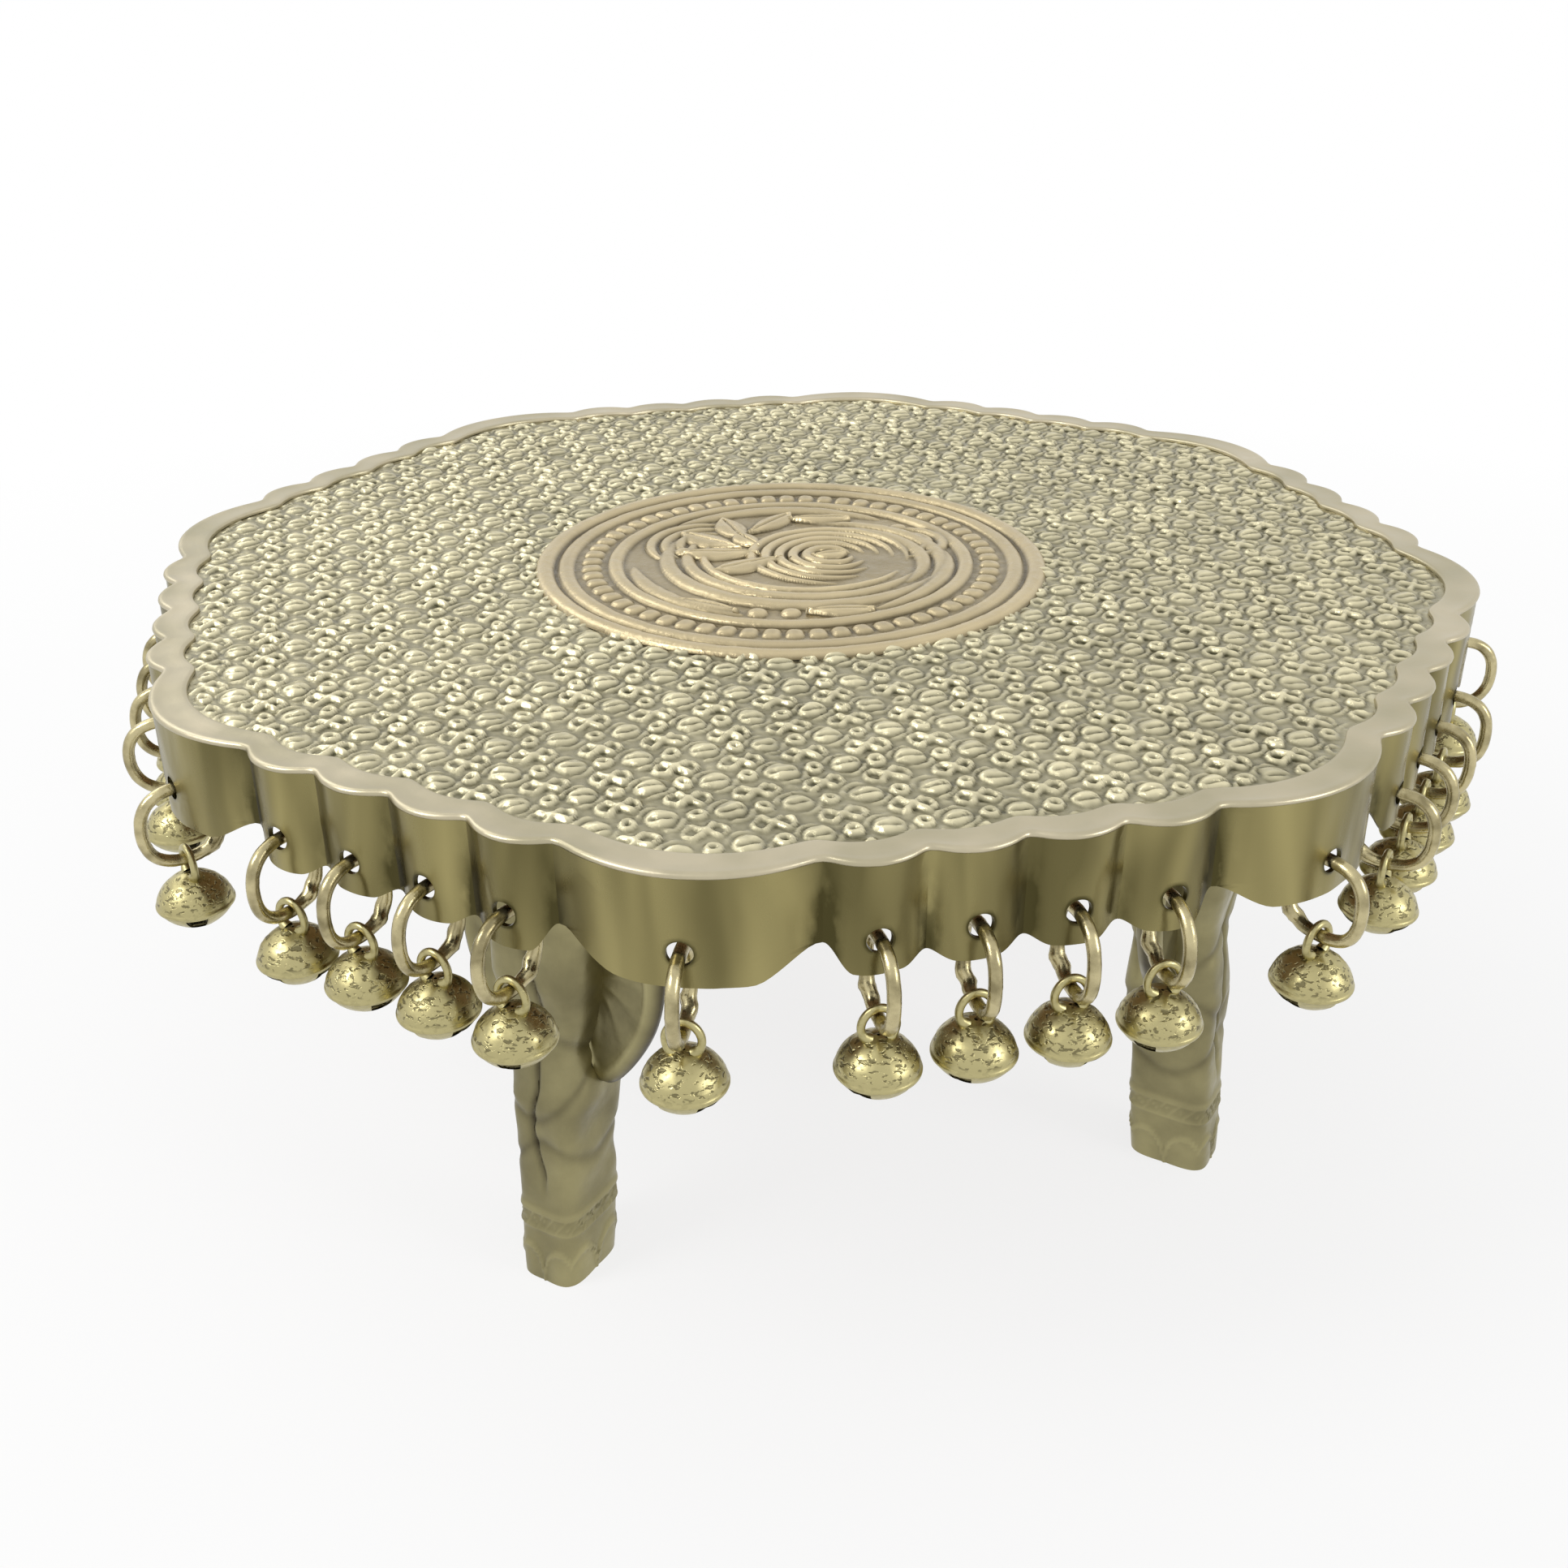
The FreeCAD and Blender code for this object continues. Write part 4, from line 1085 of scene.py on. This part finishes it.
def make_floor():
    """Pale floor that keeps a faint shadow and looks white to the camera and in reflections."""
    reach = 25.0
    mesh = bpy.data.meshes.new("floor")
    corners = [(-reach, -reach, 0), (reach, -reach, 0), (reach, reach, 0), (-reach, reach, 0)]
    mesh.from_pydata(corners, [], [(0, 1, 2, 3)])
    material, tree, shader = new_material("floor_white")
    shader.inputs["Base Color"].default_value = (0.86, 0.86, 0.86, 1.0)
    shader.inputs["Roughness"].default_value = 0.9
    glow = add_node(tree, "ShaderNodeEmission", {"Color": (1.0, 1.0, 1.0, 1.0), "Strength": 1.0})
    path = add_node(tree, "ShaderNodeLightPath")
    seen = math_socket(tree, "MAXIMUM", path.outputs["Is Camera Ray"], path.outputs["Is Glossy Ray"])
    distance = add_node(tree, "ShaderNodeVectorMath", {0: place_socket(tree)}, operation="LENGTH")
    whiteness = ramp_socket(tree, distance.outputs["Value"], 0.15, 0.7, 0.8, 1.0)
    share = math_socket(tree, "MULTIPLY", seen, whiteness)
    shaders = {0: share, 1: shader.outputs["BSDF"], 2: glow.outputs["Emission"]}
    mix = add_node(tree, "ShaderNodeMixShader", shaders)
    tree.links.new(mix.outputs["Shader"], tree.nodes["Material Output"].inputs["Surface"])
    mesh.materials.append(material)
    floor = bpy.data.objects.new("floor", mesh)
    bpy.context.collection.objects.link(floor)


def make_world():
    """Even studio light; white to the camera and in reflections."""
    world = bpy.data.worlds.new("studio")
    bpy.context.scene.world = world
    world.use_nodes = True
    tree = world.node_tree
    background = tree.nodes["Background"]
    path = add_node(tree, "ShaderNodeLightPath")
    seen = math_socket(tree, "MAXIMUM", path.outputs["Is Camera Ray"], path.outputs["Is Glossy Ray"])
    seen = math_socket(tree, "MAXIMUM", seen, path.outputs["Is Transmission Ray"])
    background.inputs["Color"].default_value = (1.0, 1.0, 1.0, 1.0)
    tree.links.new(ramp_socket(tree, seen, 0.0, 1.0, 0.6, 1.0), background.inputs["Strength"])


def make_lamp(name, place, size, power):
    """Add a square soft box that faces the table."""
    lamp = bpy.data.lights.new(name, "AREA")
    lamp.size = size
    lamp.energy = power
    made = bpy.data.objects.new(name, lamp)
    made.location = place
    direction = np.array(LAMP_TARGET) - np.array(place)
    length = np.linalg.norm(direction)
    tilt = math.acos(-direction[2] / length)
    made.rotation_euler = (tilt, 0.0, math.atan2(direction[1], direction[0]) - math.pi / 2)
    bpy.context.collection.objects.link(made)


def make_stage():
    """Floor, light and the camera of the photograph."""
    make_floor()
    make_world()
    for name, place, size, power in LAMPS:
        make_lamp(name, place, size, power)
    camera = bpy.data.cameras.new("photo_camera")
    camera.lens = CAMERA_LENS
    camera.sensor_width = CAMERA_SENSOR
    made = bpy.data.objects.new("photo_camera", camera)
    made.location = CAMERA_PLACE
    made.rotation_euler = [math.radians(value) for value in CAMERA_TURN]
    bpy.context.collection.objects.link(made)
    bpy.context.scene.camera = made
    bpy.context.scene.view_settings.view_transform = "Standard"


def dress_frame(frame):
    """Give the CAD nodes that stay their own materials."""
    wood = wood_material("board_wood", (0.42, 0.27, 0.15), (0.24, 0.14, 0.07))
    core = wood_material("core_wood", (0.4, 0.28, 0.17), (0.25, 0.16, 0.09))
    steel = steel_material()
    dressed = {"wood_board": wood, "leg_bolts": steel}
    for number in range(len(LEG_ANGLES)):
        dressed[f"leg_core_{number + 1}"] = core
    for name, material in dressed.items():
        node = frame["nodes"][name]
        for slot in node.material_slots:
            slot.material = material


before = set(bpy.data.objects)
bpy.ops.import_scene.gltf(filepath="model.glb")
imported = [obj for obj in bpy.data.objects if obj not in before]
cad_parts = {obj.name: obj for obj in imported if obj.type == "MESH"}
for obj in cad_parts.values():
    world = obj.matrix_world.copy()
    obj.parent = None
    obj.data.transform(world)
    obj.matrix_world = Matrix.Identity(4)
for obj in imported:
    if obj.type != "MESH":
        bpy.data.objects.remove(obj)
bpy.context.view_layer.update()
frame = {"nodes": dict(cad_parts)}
dress_frame(frame)
make_top(
    silver_material("top_silver", (0.83, 0.76, 0.51), (0.07, 0.066, 0.033)),
    silver_material("medallion_silver", (0.70, 0.585, 0.36), (0.09, 0.07, 0.035)),
)
make_border(border_material())
make_skirt(skirt_material())
make_hangings(ring_material(), bell_material())
make_legs(leg_material())
make_stage()
